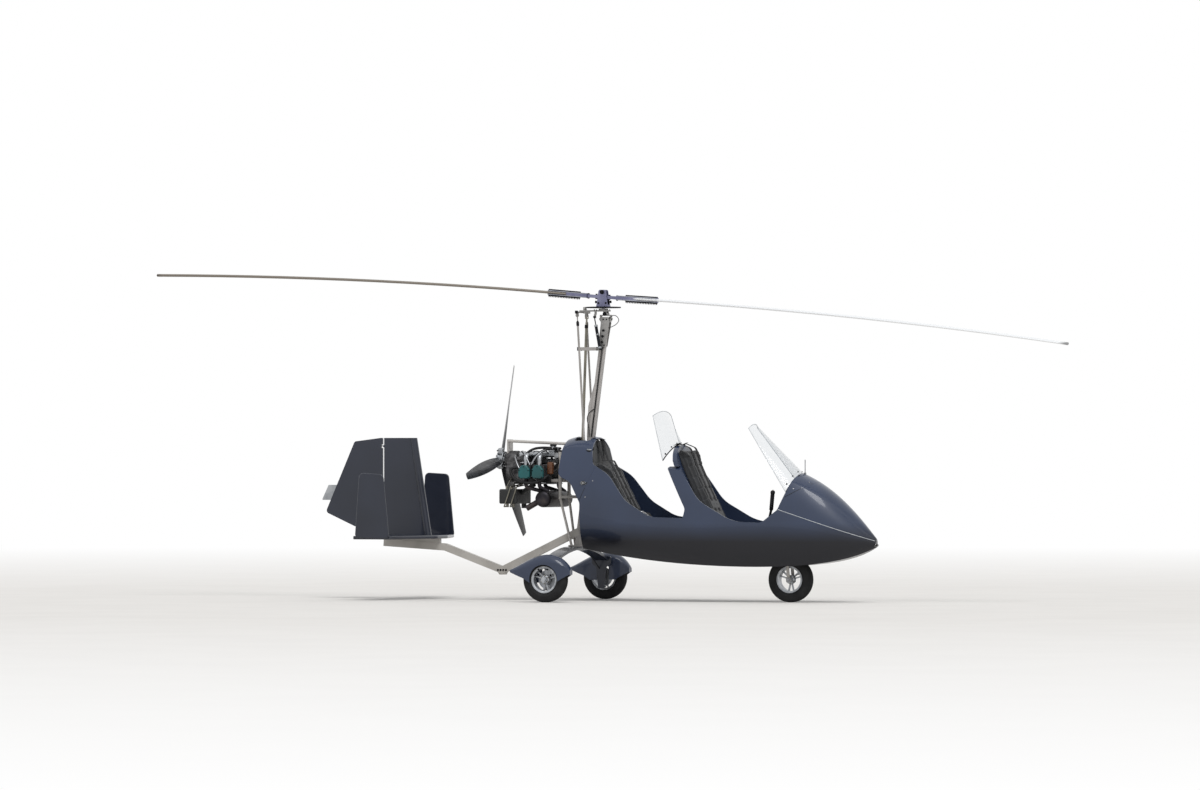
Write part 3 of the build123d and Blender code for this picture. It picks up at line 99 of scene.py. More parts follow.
def new_finish(name, colour, roughness, metallic=0.0, **sockets):
    material = bpy.data.materials.new(name)
    material.use_nodes = True
    shader = material.node_tree.nodes["Principled BSDF"]
    shader.inputs["Base Color"].default_value = linear(colour)
    shader.inputs["Roughness"].default_value = roughness
    shader.inputs["Metallic"].default_value = metallic
    for key, value in sockets.items():
        shader.inputs[key.replace("_", " ")].default_value = value
    return material, shader


def wire(material, source, target):
    material.node_tree.links.new(source, target)


def patches(material, size_mm, detail=3, stretch=(1, 1, 1)):
    """Noise whose spots are about size_mm across, on object coordinates."""
    place = add_node(material, "TexCoord")
    spread = add_node(material, "Mapping", [(place.outputs["Object"], "Vector")])
    spread.inputs["Scale"].default_value = stretch
    return add_node(material, "TexNoise", [(spread.outputs[0], "Vector")],
                    Scale=1000 / size_mm, Detail=detail)


def vary_colour(material, shader, noise, dark, light, low=0.35, high=0.65):
    ramp = add_node(material, "ValToRGB", [(noise.outputs["Fac"], "Fac")])
    ramp.color_ramp.elements[0].color = linear(dark)
    ramp.color_ramp.elements[1].color = linear(light)
    ramp.color_ramp.elements[0].position = low
    ramp.color_ramp.elements[1].position = high
    wire(material, ramp.outputs["Color"], shader.inputs["Base Color"])
    return ramp


def vary_roughness(material, shader, noise, low, high):
    spread = add_node(material, "MapRange", [(noise.outputs["Fac"], "Value")])
    spread.inputs["To Min"].default_value = low
    spread.inputs["To Max"].default_value = high
    wire(material, spread.outputs[0], shader.inputs["Roughness"])


def raise_bumps(material, shader, height, depth_mm, strength=1.0):
    bump = add_node(material, "Bump", [(height, "Height")], Strength=strength, Distance=depth_mm / 1000)
    wire(material, bump.outputs[0], shader.inputs["Normal"])
    return bump


# %% [markdown]
# The floor is plain and pale, and far from the machine it fades into the white
# background. One soft sun and an even grey sky light it, as on an overcast
# day. The sky looks white to the camera, in mirrors and through clear sheet,
# while everything else is lit by the grey one. Light Path tells them apart.

# %% Floor and light
SKY_STRENGTH = 0.58
SUN_STRENGTH = 1.7
SUN_SPREAD = radians(28)
SUN_WAY = (-0.35, 0.55, -1)
FLOOR_HALF = 70
FADE_START = 7.0      # metres from the machine
FADE_END = 34.0

floor_finish, floor_shader = new_finish("pale_floor", "#e6e3de", 0.9)
floor_grain = patches(floor_finish, 900, 4)
vary_colour(floor_finish, floor_shader, floor_grain, "#e4e1dd", "#e7e4e0")
floor_place = add_node(floor_finish, "TexCoord")
floor_reach = add_node(floor_finish, "VectorMath", [(floor_place.outputs["Object"], 0)],
                       operation="LENGTH")
floor_fade = add_node(floor_finish, "MapRange", [(floor_reach.outputs["Value"], "Value")],
                      From_Min=FADE_START, From_Max=FADE_END)
floor_glow = add_node(floor_finish, "Emission")
floor_mix = add_node(floor_finish, "MixShader", [
    (floor_fade.outputs[0], 0), (floor_shader.outputs[0], 1), (floor_glow.outputs[0], 2)])
wire(floor_finish, floor_mix.outputs[0], floor_finish.node_tree.nodes["Material Output"].inputs["Surface"])

floor_form = bmesh.new()
bmesh.ops.create_grid(floor_form, x_segments=1, y_segments=1, size=FLOOR_HALF)
floor_mesh = bpy.data.meshes.new("floor")
floor_form.to_mesh(floor_mesh)
floor_form.free()
floor_mesh.materials.append(floor_finish)
floor = bpy.data.objects.new("floor", floor_mesh)
bpy.context.collection.objects.link(floor)

world = bpy.data.worlds.new("studio")
world.use_nodes = True
grey_sky = world.node_tree.nodes["Background"]
grey_sky.inputs["Color"].default_value = linear("#f4f6f8")
grey_sky.inputs["Strength"].default_value = SKY_STRENGTH
light_path = add_node(world, "LightPath")
glossy_or_seen = add_node(world, "Math", [
    (light_path.outputs["Is Camera Ray"], 0), (light_path.outputs["Is Glossy Ray"], 1)],
    operation="ADD")
seen = add_node(world, "Math", [
    (glossy_or_seen.outputs[0], 0), (light_path.outputs["Is Transmission Ray"], 1)],
    operation="ADD", use_clamp=True)
white_sky = add_node(world, "Background", Strength=1.0)
white_sky.inputs["Color"].default_value = (1, 1, 1, 1)
sky_mix = add_node(world, "MixShader", [
    (seen.outputs[0], 0), (grey_sky.outputs[0], 1), (white_sky.outputs[0], 2)])
wire(world, sky_mix.outputs[0], world.node_tree.nodes["World Output"].inputs["Surface"])
bpy.context.scene.world = world
bpy.context.scene.view_settings.view_transform = "Standard"

sun_data = bpy.data.lights.new("soft_sun", "SUN")
sun_data.energy = SUN_STRENGTH
sun_data.angle = SUN_SPREAD
sun = bpy.data.objects.new("soft_sun", sun_data)
sun.rotation_euler = Vector(SUN_WAY).to_track_quat("-Z", "Y").to_euler()
bpy.context.collection.objects.link(sun)
print("floor, sky and sun are set")

# %% [markdown]
# Two-pack paint on moulded composite. The eye sees a deep dark blue-grey under
# a clear coat. The coat is glossy, with the faint waviness that painters call
# orange peel, about 4 mm from crest to crest.

# %% Body paint
def gloss_paint(name, dark, light, coat=0.4, painted_shade_belly=None):
    """The dark colour low on the body is painted shade and a painted reflection of the dark ground; the argument
    gives that colour below a height, and the heights in metres between which it fades in.
    """
    material, shader = new_finish(name, light, 0.34, Coat_Weight=coat, Coat_Roughness=0.06,
                                  Specular_IOR_Level=0.3)
    ramp = vary_colour(material, shader, patches(material, 600, 2), dark, light, 0.3, 0.7)
    if painted_shade_belly:
        # below the given height the paint is drawn darker: painted shade and a painted reflection of the dark ground
        shade, low, high = painted_shade_belly
        place = add_node(material, "TexCoord")
        axes = add_node(material, "SeparateXYZ", [(place.outputs["Object"], "Vector")])
        height = add_node(material, "MapRange", [(axes.outputs["Z"], "Value")], From_Min=low,
                          From_Max=high)
        blend = add_node(material, "MixRGB", [(height.outputs[0], 0), (ramp.outputs["Color"], 2)])
        blend.inputs[1].default_value = linear(shade)
        wire(material, blend.outputs[0], shader.inputs["Base Color"])
    vary_roughness(material, shader, patches(material, 90, 3), 0.28, 0.4)
    raise_bumps(material, shader, patches(material, 4, 1).outputs["Fac"], 0.05, 0.25)
    return material


# the body's underside is painted shade and reflected dark ground: darkest below 0.52 m, plain paint from 0.68 m
body_paint = gloss_paint("blue_grey_two_pack_paint", "#2a3449", "#313d56", painted_shade_belly=("#0c0e18", 0.52,
    0.68))
tail_paint = gloss_paint("blue_grey_tail_paint", "#1f232e", "#282d3b")
spat_paint = gloss_paint("blue_grey_spat_paint", "#2b3448", "#333d54")

# the bow spring is painted and its axle blocks are bare: the distance from the middle tells which
PAINT_END = 0.6405
# the bow spring wears the body's paint; these darker colours are painted shade
bow_paint = gloss_paint("bow_spring_paint", "#171c29", "#1f2636")
bow_shader = bow_paint.node_tree.nodes["Principled BSDF"]
bow_place = add_node(bow_paint, "TexCoord")
bow_axes = add_node(bow_paint, "SeparateXYZ", [(bow_place.outputs["Object"], "Vector")])
bow_reach = add_node(bow_paint, "Math", [(bow_axes.outputs["Y"], 0)], operation="ABSOLUTE")
bow_bare = add_node(bow_paint, "Math", [(bow_reach.outputs[0], 0)], operation="GREATER_THAN")
bow_bare.inputs[1].default_value = PAINT_END
bare_metal = add_node(bow_paint, "BsdfPrincipled", Metallic=1.0, Roughness=0.34)
bare_metal.inputs["Base Color"].default_value = linear("#9a9b9d")
bow_mix = add_node(bow_paint, "MixShader", [
    (bow_bare.outputs[0], 0), (bow_shader.outputs[0], 1), (bare_metal.outputs[0], 2)])
wire(bow_paint, bow_mix.outputs[0], bow_paint.node_tree.nodes["Material Output"].inputs["Surface"])

# %% [markdown]
# Powder coat is a plastic melted on to steel: even in colour, satin, with a
# fine pebbled skin about 1.5 mm across, drawn at 3 mm so that it shows. Old
# handling marks make it a little darker in places.

# %% Powder coat and paint on metal
def powder_coat(name, dark, light, roughness=0.42):
    material, shader = new_finish(name, light, roughness)
    vary_colour(material, shader, patches(material, 220, 4), dark, light, 0.3, 0.62)
    vary_roughness(material, shader, patches(material, 60, 3), roughness - 0.08, roughness + 0.12)
    raise_bumps(material, shader, patches(material, 3, 2).outputs["Fac"], 0.08, 0.4)
    return material


grey_powder_coat = powder_coat("light_grey_powder_coat", "#a9a5a1", "#bcb8b3")
mast_coat = powder_coat("grey_beige_mast_coat", "#989491", "#aca8a5")
rod_coat = powder_coat("grey_rod_coat", "#8e8a86", "#a29e9b")
boom_coat = powder_coat("warm_grey_boom_coat", "#a29e98", "#b6b2ac")
black_heat_paint = powder_coat("black_heat_paint", "#131314", "#1e1f20", 0.6)
teal_cover_paint = powder_coat("teal_wrinkle_paint", "#0a4244", "#125c5e", 0.38)

# %% [markdown]
# Alloy comes in three surfaces here. Machined alloy keeps fine parallel tool
# lines, cast alloy is grainy and dull, and anodised alloy is even and satin.
# All are metals, so their colour is the colour of their reflection.

# %% Alloy and steel
def machined(name, dark, light, roughness, line_mm=0.8, stretch=(0.08, 1, 1)):
    material, shader = new_finish(name, light, roughness, 1.0)
    lines = patches(material, line_mm * 4, 2, stretch)
    vary_colour(material, shader, patches(material, 120, 4), dark, light)
    vary_roughness(material, shader, lines, roughness - 0.08, roughness + 0.14)
    raise_bumps(material, shader, lines.outputs["Fac"], 0.03, 0.3)
    return material


def cast(name, dark, light, roughness=0.55, grain_mm=2.5):
    material, shader = new_finish(name, light, roughness, 0.85)
    grain = patches(material, grain_mm, 5)
    vary_colour(material, shader, patches(material, 45, 5), dark, light, 0.35, 0.7)
    vary_roughness(material, shader, patches(material, 30, 3), roughness - 0.1, roughness + 0.2)
    raise_bumps(material, shader, grain.outputs["Fac"], 0.4, 0.5)
    return material


machined_alloy = machined("machined_alloy", "#8d9094", "#b4b7ba", 0.34)
ground_steel = machined("ground_steel", "#7c7d80", "#a6a7aa", 0.28)
dark_steel = machined("zinc_plated_steel", "#6c6a62", "#8f8b80", 0.36)
anodised_black = machined("black_anodised_alloy", "#1b1c1f", "#2b2d31", 0.4)
anodised_grey = machined("lavender_grey_anodised_alloy", "#6f708a", "#8788a0", 0.42)
head_alloy = machined("satin_head_alloy", "#7f7e7d", "#a3a2a0", 0.44)
black_bolt = machined("blackened_bolt_steel", "#1a1a1c", "#303033", 0.42)
braided_steel = machined("braided_hose_steel", "#7f8184", "#b0b2b5", 0.34, 1.2, (1, 1, 1))
cast_alloy = cast("cast_crankcase_alloy", "#2f2f31", "#6d6c6d")
wheel_alloy = cast("painted_cast_rim", "#94979c", "#babdc1", 0.36, 1.5)

# %% [markdown]
# Exhaust steel starts bright and takes colour from heat: straw, then brown,
# then a blue-grey where it is hottest. Wide soft patches of those tints make
# it look used, and the metal stays a metal underneath.

# %% Heat-tinted steel
heated_steel, heated_shader = new_finish("heat_tinted_steel", "#5a4f47", 0.42, 0.9)
heat = vary_colour(heated_steel, heated_shader, patches(heated_steel, 140, 4), "#1f1d1d", "#5f5650",
                   0.3, 0.8)
middle_tint = heat.color_ramp.elements.new(0.5)
middle_tint.color = linear("#312f34")
vary_roughness(heated_steel, heated_shader, patches(heated_steel, 25, 3), 0.34, 0.6)
raise_bumps(heated_steel, heated_shader, patches(heated_steel, 6, 3).outputs["Fac"], 0.2, 0.3)

# %% [markdown]
# A thin clear sheet bends light too little to see. What shows is a faint pale
# film of reflected sky, so the screens are a smooth pale surface that is
# mostly see-through, with hazy wipe marks. The lamp lenses are thick enough to
# be real glass.

# %% Clear acrylic and lamp lens
screen_acrylic, screen_shader = new_finish("formed_clear_acrylic", "#c4ccd2", 0.05)
wipe_marks = patches(screen_acrylic, 160, 3, (1, 1, 4))
vary_roughness(screen_acrylic, screen_shader, wipe_marks, 0.04, 0.12)
screen_film = add_node(screen_acrylic, "MapRange", [(wipe_marks.outputs["Fac"], "Value")], To_Min=0.14,
                       To_Max=0.2)
wire(screen_acrylic, screen_film.outputs[0], screen_shader.inputs["Alpha"])
lamp_lens, lens_shader = new_finish("lamp_lens", "#fbfbf6", 0.03, Transmission_Weight=1.0, IOR=1.49)
vary_roughness(lamp_lens, lens_shader, patches(lamp_lens, 20, 3), 0.03, 0.06)

# %% [markdown]
# Rubber is matte and nearly black, never fully black. Wear greys it, and dust
# sits in its grooves. Moulded plastic is smoother, with a fine leather-like
# grain, about 1 mm, drawn at 2 mm so that it shows.

# %% Rubber and plastics
def rubber(name, dark, light, roughness=0.82, grain_mm=3):
    material, shader = new_finish(name, light, roughness, Specular_IOR_Level=0.3)
    vary_colour(material, shader, patches(material, 70, 5), dark, light)
    raise_bumps(material, shader, patches(material, grain_mm, 4).outputs["Fac"], 0.2, 0.5)
    return material


tyre_rubber = rubber("tyre_rubber", "#161617", "#252526")
hose_rubber = rubber("hose_rubber", "#101011", "#1c1c1e", 0.6)
grain_plastic = rubber("grained_black_plastic", "#17181a", "#222427", 0.5, 2)
dial_face = rubber("dial_black", "#0b0b0c", "#121213", 0.5, 2)
dial_white, dial_white_shader = new_finish("dial_white_print", "#e8e8e2", 0.5)
vary_colour(dial_white, dial_white_shader, patches(dial_white, 4, 2), "#dadad4", "#f0f0ea")
grey_thread = rubber("grey_thread", "#2c2c30", "#3a3a3f", 0.7, 1.2)
strap_webbing = rubber("harness_webbing", "#0e0e10", "#1d1d20", 0.75, 1.2)

# %% [markdown]
# Two small plastics finish the list. The overflow bottle is amber and lets some light through, and a pale bead is a
# painted highlight along the nose seam and the screens' edges.

# %% Amber bottle and pale bead
amber_plastic, amber_shader = new_finish("amber_bottle_plastic", "#8a4a1c", 0.35,
                                         Transmission_Weight=0.25)
vary_colour(amber_plastic, amber_shader, patches(amber_plastic, 40, 3), "#4c2a14", "#6e4122")
# painted highlight: a pale bead that stands for light along the nose seam and the screens' edges
highlight_bead, bead_shader = new_finish("painted_highlight_bead", "#c9ccd0", 0.45)
vary_colour(highlight_bead, bead_shader, patches(highlight_bead, 50, 3), "#b4b8bd", "#d6d9dc")

# %% [markdown]
# Rotor blades are one long extrusion of alloy. Its satin skin has fine lines along the span. The aft blade is drawn
# brown-grey, a painted shade of its underside, and the forward one near white, a painted reflection of the sky; both
# end in dark tip caps. Object X tells the two blades apart.

# %% Blade skin
blade_skin, blade_shader = new_finish("drawn_blade_alloy", "#c9cacb", 0.38, 0.55)
blade_place = add_node(blade_skin, "TexCoord")
blade_axes = add_node(blade_skin, "SeparateXYZ", [(blade_place.outputs["Object"], "Vector")])
blade_ramp = add_node(blade_skin, "ValToRGB")
blade_span = add_node(blade_skin, "MapRange", [(blade_axes.outputs["X"], "Value")])
blade_span.inputs["From Min"].default_value = -4.2
blade_span.inputs["From Max"].default_value = 4.2
wire(blade_skin, blade_span.outputs[0], blade_ramp.inputs["Fac"])
# brown-grey on the aft blade is painted shade, near white on the forward blade is a painted reflection of the sky,
# and the dark ends are the tip caps
SPAN_SHADE_AND_SKY_TINTS = [(0.0, "#2b2a2a"), (0.006, "#7d756c"), (0.46, "#8b847b"), (0.54, "#e9ebee"), (0.994,
    "#f1f3f5"),
              (1.0, "#2b2a2a")]
blade_ramp.color_ramp.interpolation = "LINEAR"
for position, tint in SPAN_SHADE_AND_SKY_TINTS[1:-1]:
    blade_ramp.color_ramp.elements.new(position).color = linear(tint)
blade_ramp.color_ramp.elements[0].color = linear(SPAN_SHADE_AND_SKY_TINTS[0][1])
blade_ramp.color_ramp.elements[-1].color = linear(SPAN_SHADE_AND_SKY_TINTS[-1][1])
wire(blade_skin, blade_ramp.outputs["Color"], blade_shader.inputs["Base Color"])
span_lines = patches(blade_skin, 3, 2, (0.02, 1, 1))
vary_roughness(blade_skin, blade_shader, span_lines, 0.3, 0.48)
raise_bumps(blade_skin, blade_shader, span_lines.outputs["Fac"], 0.05, 0.3)

# %% [markdown]
# The propeller is moulded carbon composite with a black satin gel skin, and a
# little dust and grass stain that greys the faces.

# %% Propeller skin
propeller_skin, propeller_shader = new_finish("black_composite_skin", "#26272b", 0.36, Coat_Weight=0.5,
                                              Coat_Roughness=0.2)
vary_colour(propeller_skin, propeller_shader, patches(propeller_skin, 130, 4), "#1d1e21", "#34363b")
raise_bumps(propeller_skin, propeller_shader, patches(propeller_skin, 5, 2).outputs["Fac"], 0.05, 0.3)

# %% Give the solids their finishes
NODE_FINISH = {
    "hull_tub": body_paint, "nose_cowl": body_paint, "instrument_pod": body_paint,
    "rear_cowl": body_paint,
    "wheel_spats": spat_paint, "wheel_well": grain_plastic, "stabiliser": tail_paint,
    "centre_fin": tail_paint, "end_fins": tail_paint,
    "rudder": tail_paint, "rudder_tab": machined_alloy, "frame_keel": grey_powder_coat,
    "mast": mast_coat,
    "tail_boom": boom_coat, "main_gear": bow_paint, "nose_fork": grey_powder_coat,
    "engine_mount": grey_powder_coat, "mast_head": head_alloy, "gimbal": head_alloy,
    "head_bridge": head_alloy, "trim_cylinder": anodised_black, "rod_ball_left": ground_steel,
    "rod_ball_right": ground_steel, "control_rod_left": rod_coat, "control_rod_right": rod_coat,
    "shaft_cross": ground_steel, "prerotator_shaft": dark_steel, "ring_gear": anodised_black,
    "rotor_tower": anodised_grey, "hub_bar": anodised_grey, "rotor_blades": blade_skin,
    "front_windscreen": screen_acrylic, "rear_windscreen": screen_acrylic,
    "front_seat_shell": body_paint,
    "rear_seat_shell": grain_plastic, "front_cushions": grain_plastic, "rear_cushions": grain_plastic,
    "instrument_panel": grain_plastic, "cockpit_controls": anodised_black, "position_lights": lamp_lens,
    "pitot_tube": ground_steel, "engine_block": cast_alloy, "valve_covers": teal_cover_paint,
    "intake_pipes": machined_alloy, "exhaust_system": heated_steel, "rear_silencer": black_heat_paint,
    "silencer_mounts": dark_steel, "propeller_hub": machined_alloy, "propeller_blades": propeller_skin,
    "nose_tyre": tyre_rubber, "left_tyre": tyre_rubber, "right_tyre": tyre_rubber,
    "nose_rim": wheel_alloy,
    "left_rim": wheel_alloy, "right_rim": wheel_alloy,
}
for node_name, finish in NODE_FINISH.items():
    node_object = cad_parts[node_name]
    node_object.material_slots[0].material = finish
print("finishes set on", len(NODE_FINISH), "solids")

# %% [markdown]
# Every new piece below starts as a bmesh: a loose set of vertices and faces
# that operators shape. Drawing sizes are in millimetres and the scene is in
# metres, so one function turns a drawn point into a scene point. Another
# merges doubles, points the faces outwards and hangs the piece on the body
# that carries it, so that it moves when that body moves.

# %% Modelling helpers
def mm(x, y, z):
    return Vector((x, y, z)) / 1000


def facing(place, direction):
    """A seat at a drawn place, with its own Z along the direction."""
    return Matrix.Translation(mm(*place)) @ Vector(direction).to_track_quat("Z",
        "Y").to_matrix().to_4x4()


def hang(mesh, name, body, finish, sharp=35):
    mesh.name = name
    mesh.shade_smooth()
    mesh.set_sharp_from_angle(angle=radians(sharp))
    mesh.materials.clear()
    mesh.materials.append(finish)
    piece = bpy.data.objects.new(name, mesh)
    bpy.context.collection.objects.link(piece)
    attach(piece, body)
    print(name, len(mesh.polygons), "faces")
    return piece


def close_form(form, name, body, finish, sharp=35):
    bmesh.ops.remove_doubles(form, verts=form.verts, dist=0.00001)
    bmesh.ops.recalc_face_normals(form, faces=form.faces)
    mesh = bpy.data.meshes.new(name)
    form.to_mesh(mesh)
    form.free()
    return hang(mesh, name, body, finish, sharp)


def turned(form, seat, profile, steps=32, ring=False):
    """Turns (radius, height) points about the seat's Z, as on a lathe; a ring's profile is closed."""
    points = [form.verts.new(seat @ mm(radius, 0, height)) for radius, height in profile]
    pairs = zip(points, points[1:] + points[:1] if ring else points[1:])
    edges = [form.edges.new(pair) for pair in pairs]
    bmesh.ops.spin(form, geom=points + edges, cent=seat.translation, axis=seat.col[2].xyz,
                   angle=2 * pi, steps=steps, use_merge=True)


def rounded_block(form, seat, size, rounding, segments=2):
    made = bmesh.ops.create_cube(form, size=1, matrix=seat @ Matrix.Diagonal((*mm(*size), 1)))
    edges = list({edge for vert in made["verts"] for edge in vert.link_edges})
    bmesh.ops.bevel(form, geom=edges, offset=rounding / 1000, affect="EDGES", segments=segments,
                    profile=0.5, material=-1)


def hex_head(form, seat, across, height, washer=True):
    """A hexagon head or nut with a chamfered top, on a round washer."""
    if washer:
        bmesh.ops.create_cone(form, cap_ends=True, segments=20, radius1=across * 0.00085,
                              radius2=across * 0.00085,
                              depth=0.0016, matrix=seat @ Matrix.Translation((0, 0, 0.0008)))
    made = bmesh.ops.create_cone(form, cap_ends=True, segments=6, radius1=across * 0.000577,
                                 radius2=across * 0.000577, depth=height / 1000,
                                 matrix=seat @ Matrix.Translation(mm(0, 0, 1.6 + height / 2)))
    top = seat @ mm(0, 0, 1.6 + height)
    rim = [edge for vert in made["verts"] for edge in vert.link_edges
           if all((v.co - top).length < across * 0.0006 for v in edge.verts)]
    bmesh.ops.bevel(form, geom=list(set(rim)), offset=across * 0.00007, affect="EDGES", segments=1,
                    profile=0.5, material=-1)


def round_runs(name, body, runs, finish, sides=3):
    """Pipes, hoses and wires: each run is a radius in mm and the points that it passes, in mm."""
    curve = bpy.data.curves.new(name, "CURVE")
    curve.dimensions = "3D"
    curve.bevel_depth = 0.001
    curve.bevel_resolution = sides
    curve.use_fill_caps = True
    curve.resolution_u = 8
    for radius, *points in runs:
        spline = curve.splines.new("NURBS")
        spline.points.add(len(points) - 1)
        for control, place in zip(spline.points, points):
            control.co = (*mm(*place), 1)
            control.radius = radius
        spline.order_u = 3
        spline.use_endpoint_u = True
    former = bpy.data.objects.new(name, curve)
    mesh = bpy.data.meshes.new_from_object(former)
    bpy.data.objects.remove(former)
    form = bmesh.new()
    form.from_mesh(mesh)
    bpy.data.meshes.remove(mesh)
    return close_form(form, name, body, finish, 60)


def port_copy(run):
    """The same run on the port side."""
    radius, *points = run
    return (radius, *[(x, -y, z) for x, y, z in points])


# %% [markdown]
# Small pieces are seated on a curved panel by looking for the panel with a
# ray, as one would feel for it with a finger. A search tree of the solid's
# faces makes each ray quick.

# %% Feel for a surface
def surface_tree(*node_names):
    points, faces = [], []
    for node_name in node_names:
        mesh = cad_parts[node_name].data
        base = len(points)
        points += [vert.co.copy() for vert in mesh.vertices]
        faces += [[base + index for index in face.vertices] for face in mesh.polygons]
    return BVHTree.FromPolygons(points, faces)


body_surface = surface_tree("hull_tub", "nose_cowl", "instrument_pod", "rear_cowl")


def on_body(x, z, side):
    """Where the body's side is, at a drawn x and z, and which way it faces."""
    place, normal, _, _ = body_surface.ray_cast(mm(x, side * 900, z), Vector((0, -side, 0)))
    if place is None:
        return None
    if normal.y * side < 0:
        normal = -normal
    return place * 1000, normal


# %% [markdown]
# The tyres are ribbed: four grooves run round the tread, and a thin moulded
# ring stands on each side wall. A tyre is the same all the way round, so one
# half profile is spun about the axle. The profile goes up one wall, over the
# ribs and down the other.

# %% Ribbed tyres
WHEELS = {"nose": (1724, 0), "left": (-240, 750), "right": (-240, -750)}
WHEEL_RADIUS = 195
TREAD_GROOVES = (-24, -8, 8, 24)
GROOVE_WIDTH = 4.5
GROOVE_DEPTH = 4

wall = [(104, -38), (116, -38.5), (120, -43), (128, -46.5), (139, -49), (141, -50), (144, -50), (146,
    -49.3),
        (160, -49), (172, -47), (181, -44), (187, -39.5), (191, -34), (193.4, -29)]
tread = []
for groove in TREAD_GROOVES:
    crown = WHEEL_RADIUS - 0.0012 * groove ** 2
    half = GROOVE_WIDTH / 2
    tread += [(crown, groove - half - 0.6), (crown - GROOVE_DEPTH, groove - half),
              (crown - GROOVE_DEPTH, groove + half),
              (crown, groove + half + 0.6)]
tyre_profile = wall + tread + [(radius, -across) for radius, across in wall[::-1]]

for place, (x, y) in WHEELS.items():
    form = bmesh.new()
    turned(form, facing((x, y, WHEEL_RADIUS), (0, 1, 0)), tyre_profile, 96, ring=True)
    tyre = close_form(form, f"{place}_ribbed_tyre", f"{place}_wheel", tyre_rubber, 50)
    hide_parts(f"{place}_tyre")

# %% [markdown]
# The rims are three forked spokes in a rolled ring. The solids have the spokes,
# and a few turned pieces give them depth: a bright lip inside the tyre's bead,
# a ring of hub bolts, an axle nut and a valve stem.

# %% Rim lips, hub bolts and valves
for place, (x, y) in WHEELS.items():
    form = bmesh.new()
    for side in (-1, 1):
        seat = facing((x, y + side * 40, WHEEL_RADIUS), (0, side, 0))
        turned(form, seat, [(109, 2), (111, 5.5), (114.5, 6.5), (116, 4), (114, 1.5), (111, 1)], 72,
               ring=True)
        turned(form, facing((x, y + side * 14, WHEEL_RADIUS), (0, side, 0)),
               [(27, 0), (36, 0), (38, 3), (38, 8), (33, 12), (27, 13)], 40, ring=True)
    close_form(form, f"{place}_rim_lips", f"{place}_wheel", wheel_alloy)
    form = bmesh.new()
    for side in (-1, 1):
        for turn in range(30, 390, 60):
            spot = (x + 33 * cos(radians(turn)), y + side * 24, WHEEL_RADIUS + 33 * sin(radians(turn)))
            hex_head(form, facing(spot, (0, side, 0)), 8, 4)
    outward = 1 if y > 0 else -1
    valve_seat = facing((x + 84, y + outward * 22, WHEEL_RADIUS + 48), (-0.6, outward, -0.3))
    turned(form, valve_seat, [(0, 0), (4, 0), (4, 14), (3, 15), (3, 30), (4.2, 30), (4.2, 38), (0, 38)],
           14)
    close_form(form, f"{place}_wheel_bolts", f"{place}_wheel", dark_steel)

# %% [markdown]
# A blade root sits between two alloy plates. Two rows of long bolts go
# through, and from the side the heads above and the nuts below look like the
# teeth of a saw. The rotor is parked at a slight tilt, so the bolts are drawn
# on a level arm and turned into place with it.

# %% Rotor bolts
PARKED = Matrix.Translation(mm(12, 0, 2673)) @ Matrix.Rotation(radians(4.45), 4, "Y")
LEVEL_ARM = Matrix.Translation(mm(0, 0, -42)) @ Matrix.Rotation(radians(-0.65), 4, "Y")
ARMS = (PARKED @ LEVEL_ARM, PARKED @ Matrix.Rotation(pi, 4, "Z") @ LEVEL_ARM)
CLAMP_FACE = 20.3
BOLT_PITCH = 29.4

form = bmesh.new()
for arm in ARMS:
    for count in range(10):
        for y in (-20, 20):
            x = 224 + BOLT_PITCH * count
            hex_head(form, arm @ facing((x, y, CLAMP_FACE), (0, 0, 1)), 15, 8)
            hex_head(form, arm @ facing((x, y, -CLAMP_FACE), (0, 0, -1)), 15, 11)
            turned(form, arm @ facing((x, y, -CLAMP_FACE), (0, 0, -1)), [(0, 12), (4, 12), (4, 20), (0,
                21)], 10)
for x in (-132, -60, 60, 132):
    hex_head(form, PARKED @ facing((x, 0, -28), (0, 0, 1)), 15, 8)
    hex_head(form, PARKED @ facing((x, 0, -56), (0, 0, -1)), 15, 8)
close_form(form, "rotor_clamp_bolts", "rotor", black_bolt)

# %% [markdown]
# Edge strips run along each clamp plate, where the saw cut left the alloy bright. They break up the flat grey so that
# the joint reads as a stack of plates.

# %% Clamp plate edges
form = bmesh.new()
for arm in ARMS:
    for z in (-16.3, 16.3):
        for y in (-34.6, 34.6):
            rounded_block(form, arm @ facing((319, y, z), (0, 0, 1)), (358, 2.4, 6), 0.8, 1)
close_form(form, "clamp_edges", "rotor", machined_alloy)

# %% [markdown]
# The teeter tower and the head below it are held by black screws. Two stub
# bolts at the foot of the tower stop the rotor from teetering too far. Each row
# is a place, a direction, the size across the flats and a height.

# %% Tower and head screws
TOWER_SCREWS = [
    ((12, -41, 2673), (0, -1, 0), 22, 9), ((12, 41, 2673), (0, 1, 0), 22, 9),
    ((-22, -32, 2578), (0, -1, 0), 11, 5), ((46, -32, 2578), (0, -1, 0), 11, 5),
    ((-22, 32, 2578), (0, 1, 0), 11, 5), ((46, 32, 2578), (0, 1, 0), 11, 5),
    ((-30, -20, 2563), (0, 0, 1), 10, 5), ((54, -20, 2563), (0, 0, 1), 10, 5),
    ((-30, 20, 2563), (0, 0, 1), 10, 5), ((54, 20, 2563), (0, 0, 1), 10, 5),
]
form = bmesh.new()
for place, direction, across, height in TOWER_SCREWS:
    hex_head(form, facing(place, direction), across, height)
for side in (-1, 1):
    stop = facing((12 + side * 44, 0, 2588), (side, 0, 0))
    turned(form, stop, [(0, 0), (8, 0), (8, 20), (12, 20), (12, 28), (10, 30), (0, 30)], 20)
close_form(form, "tower_screws", "rotor_mount", black_bolt)

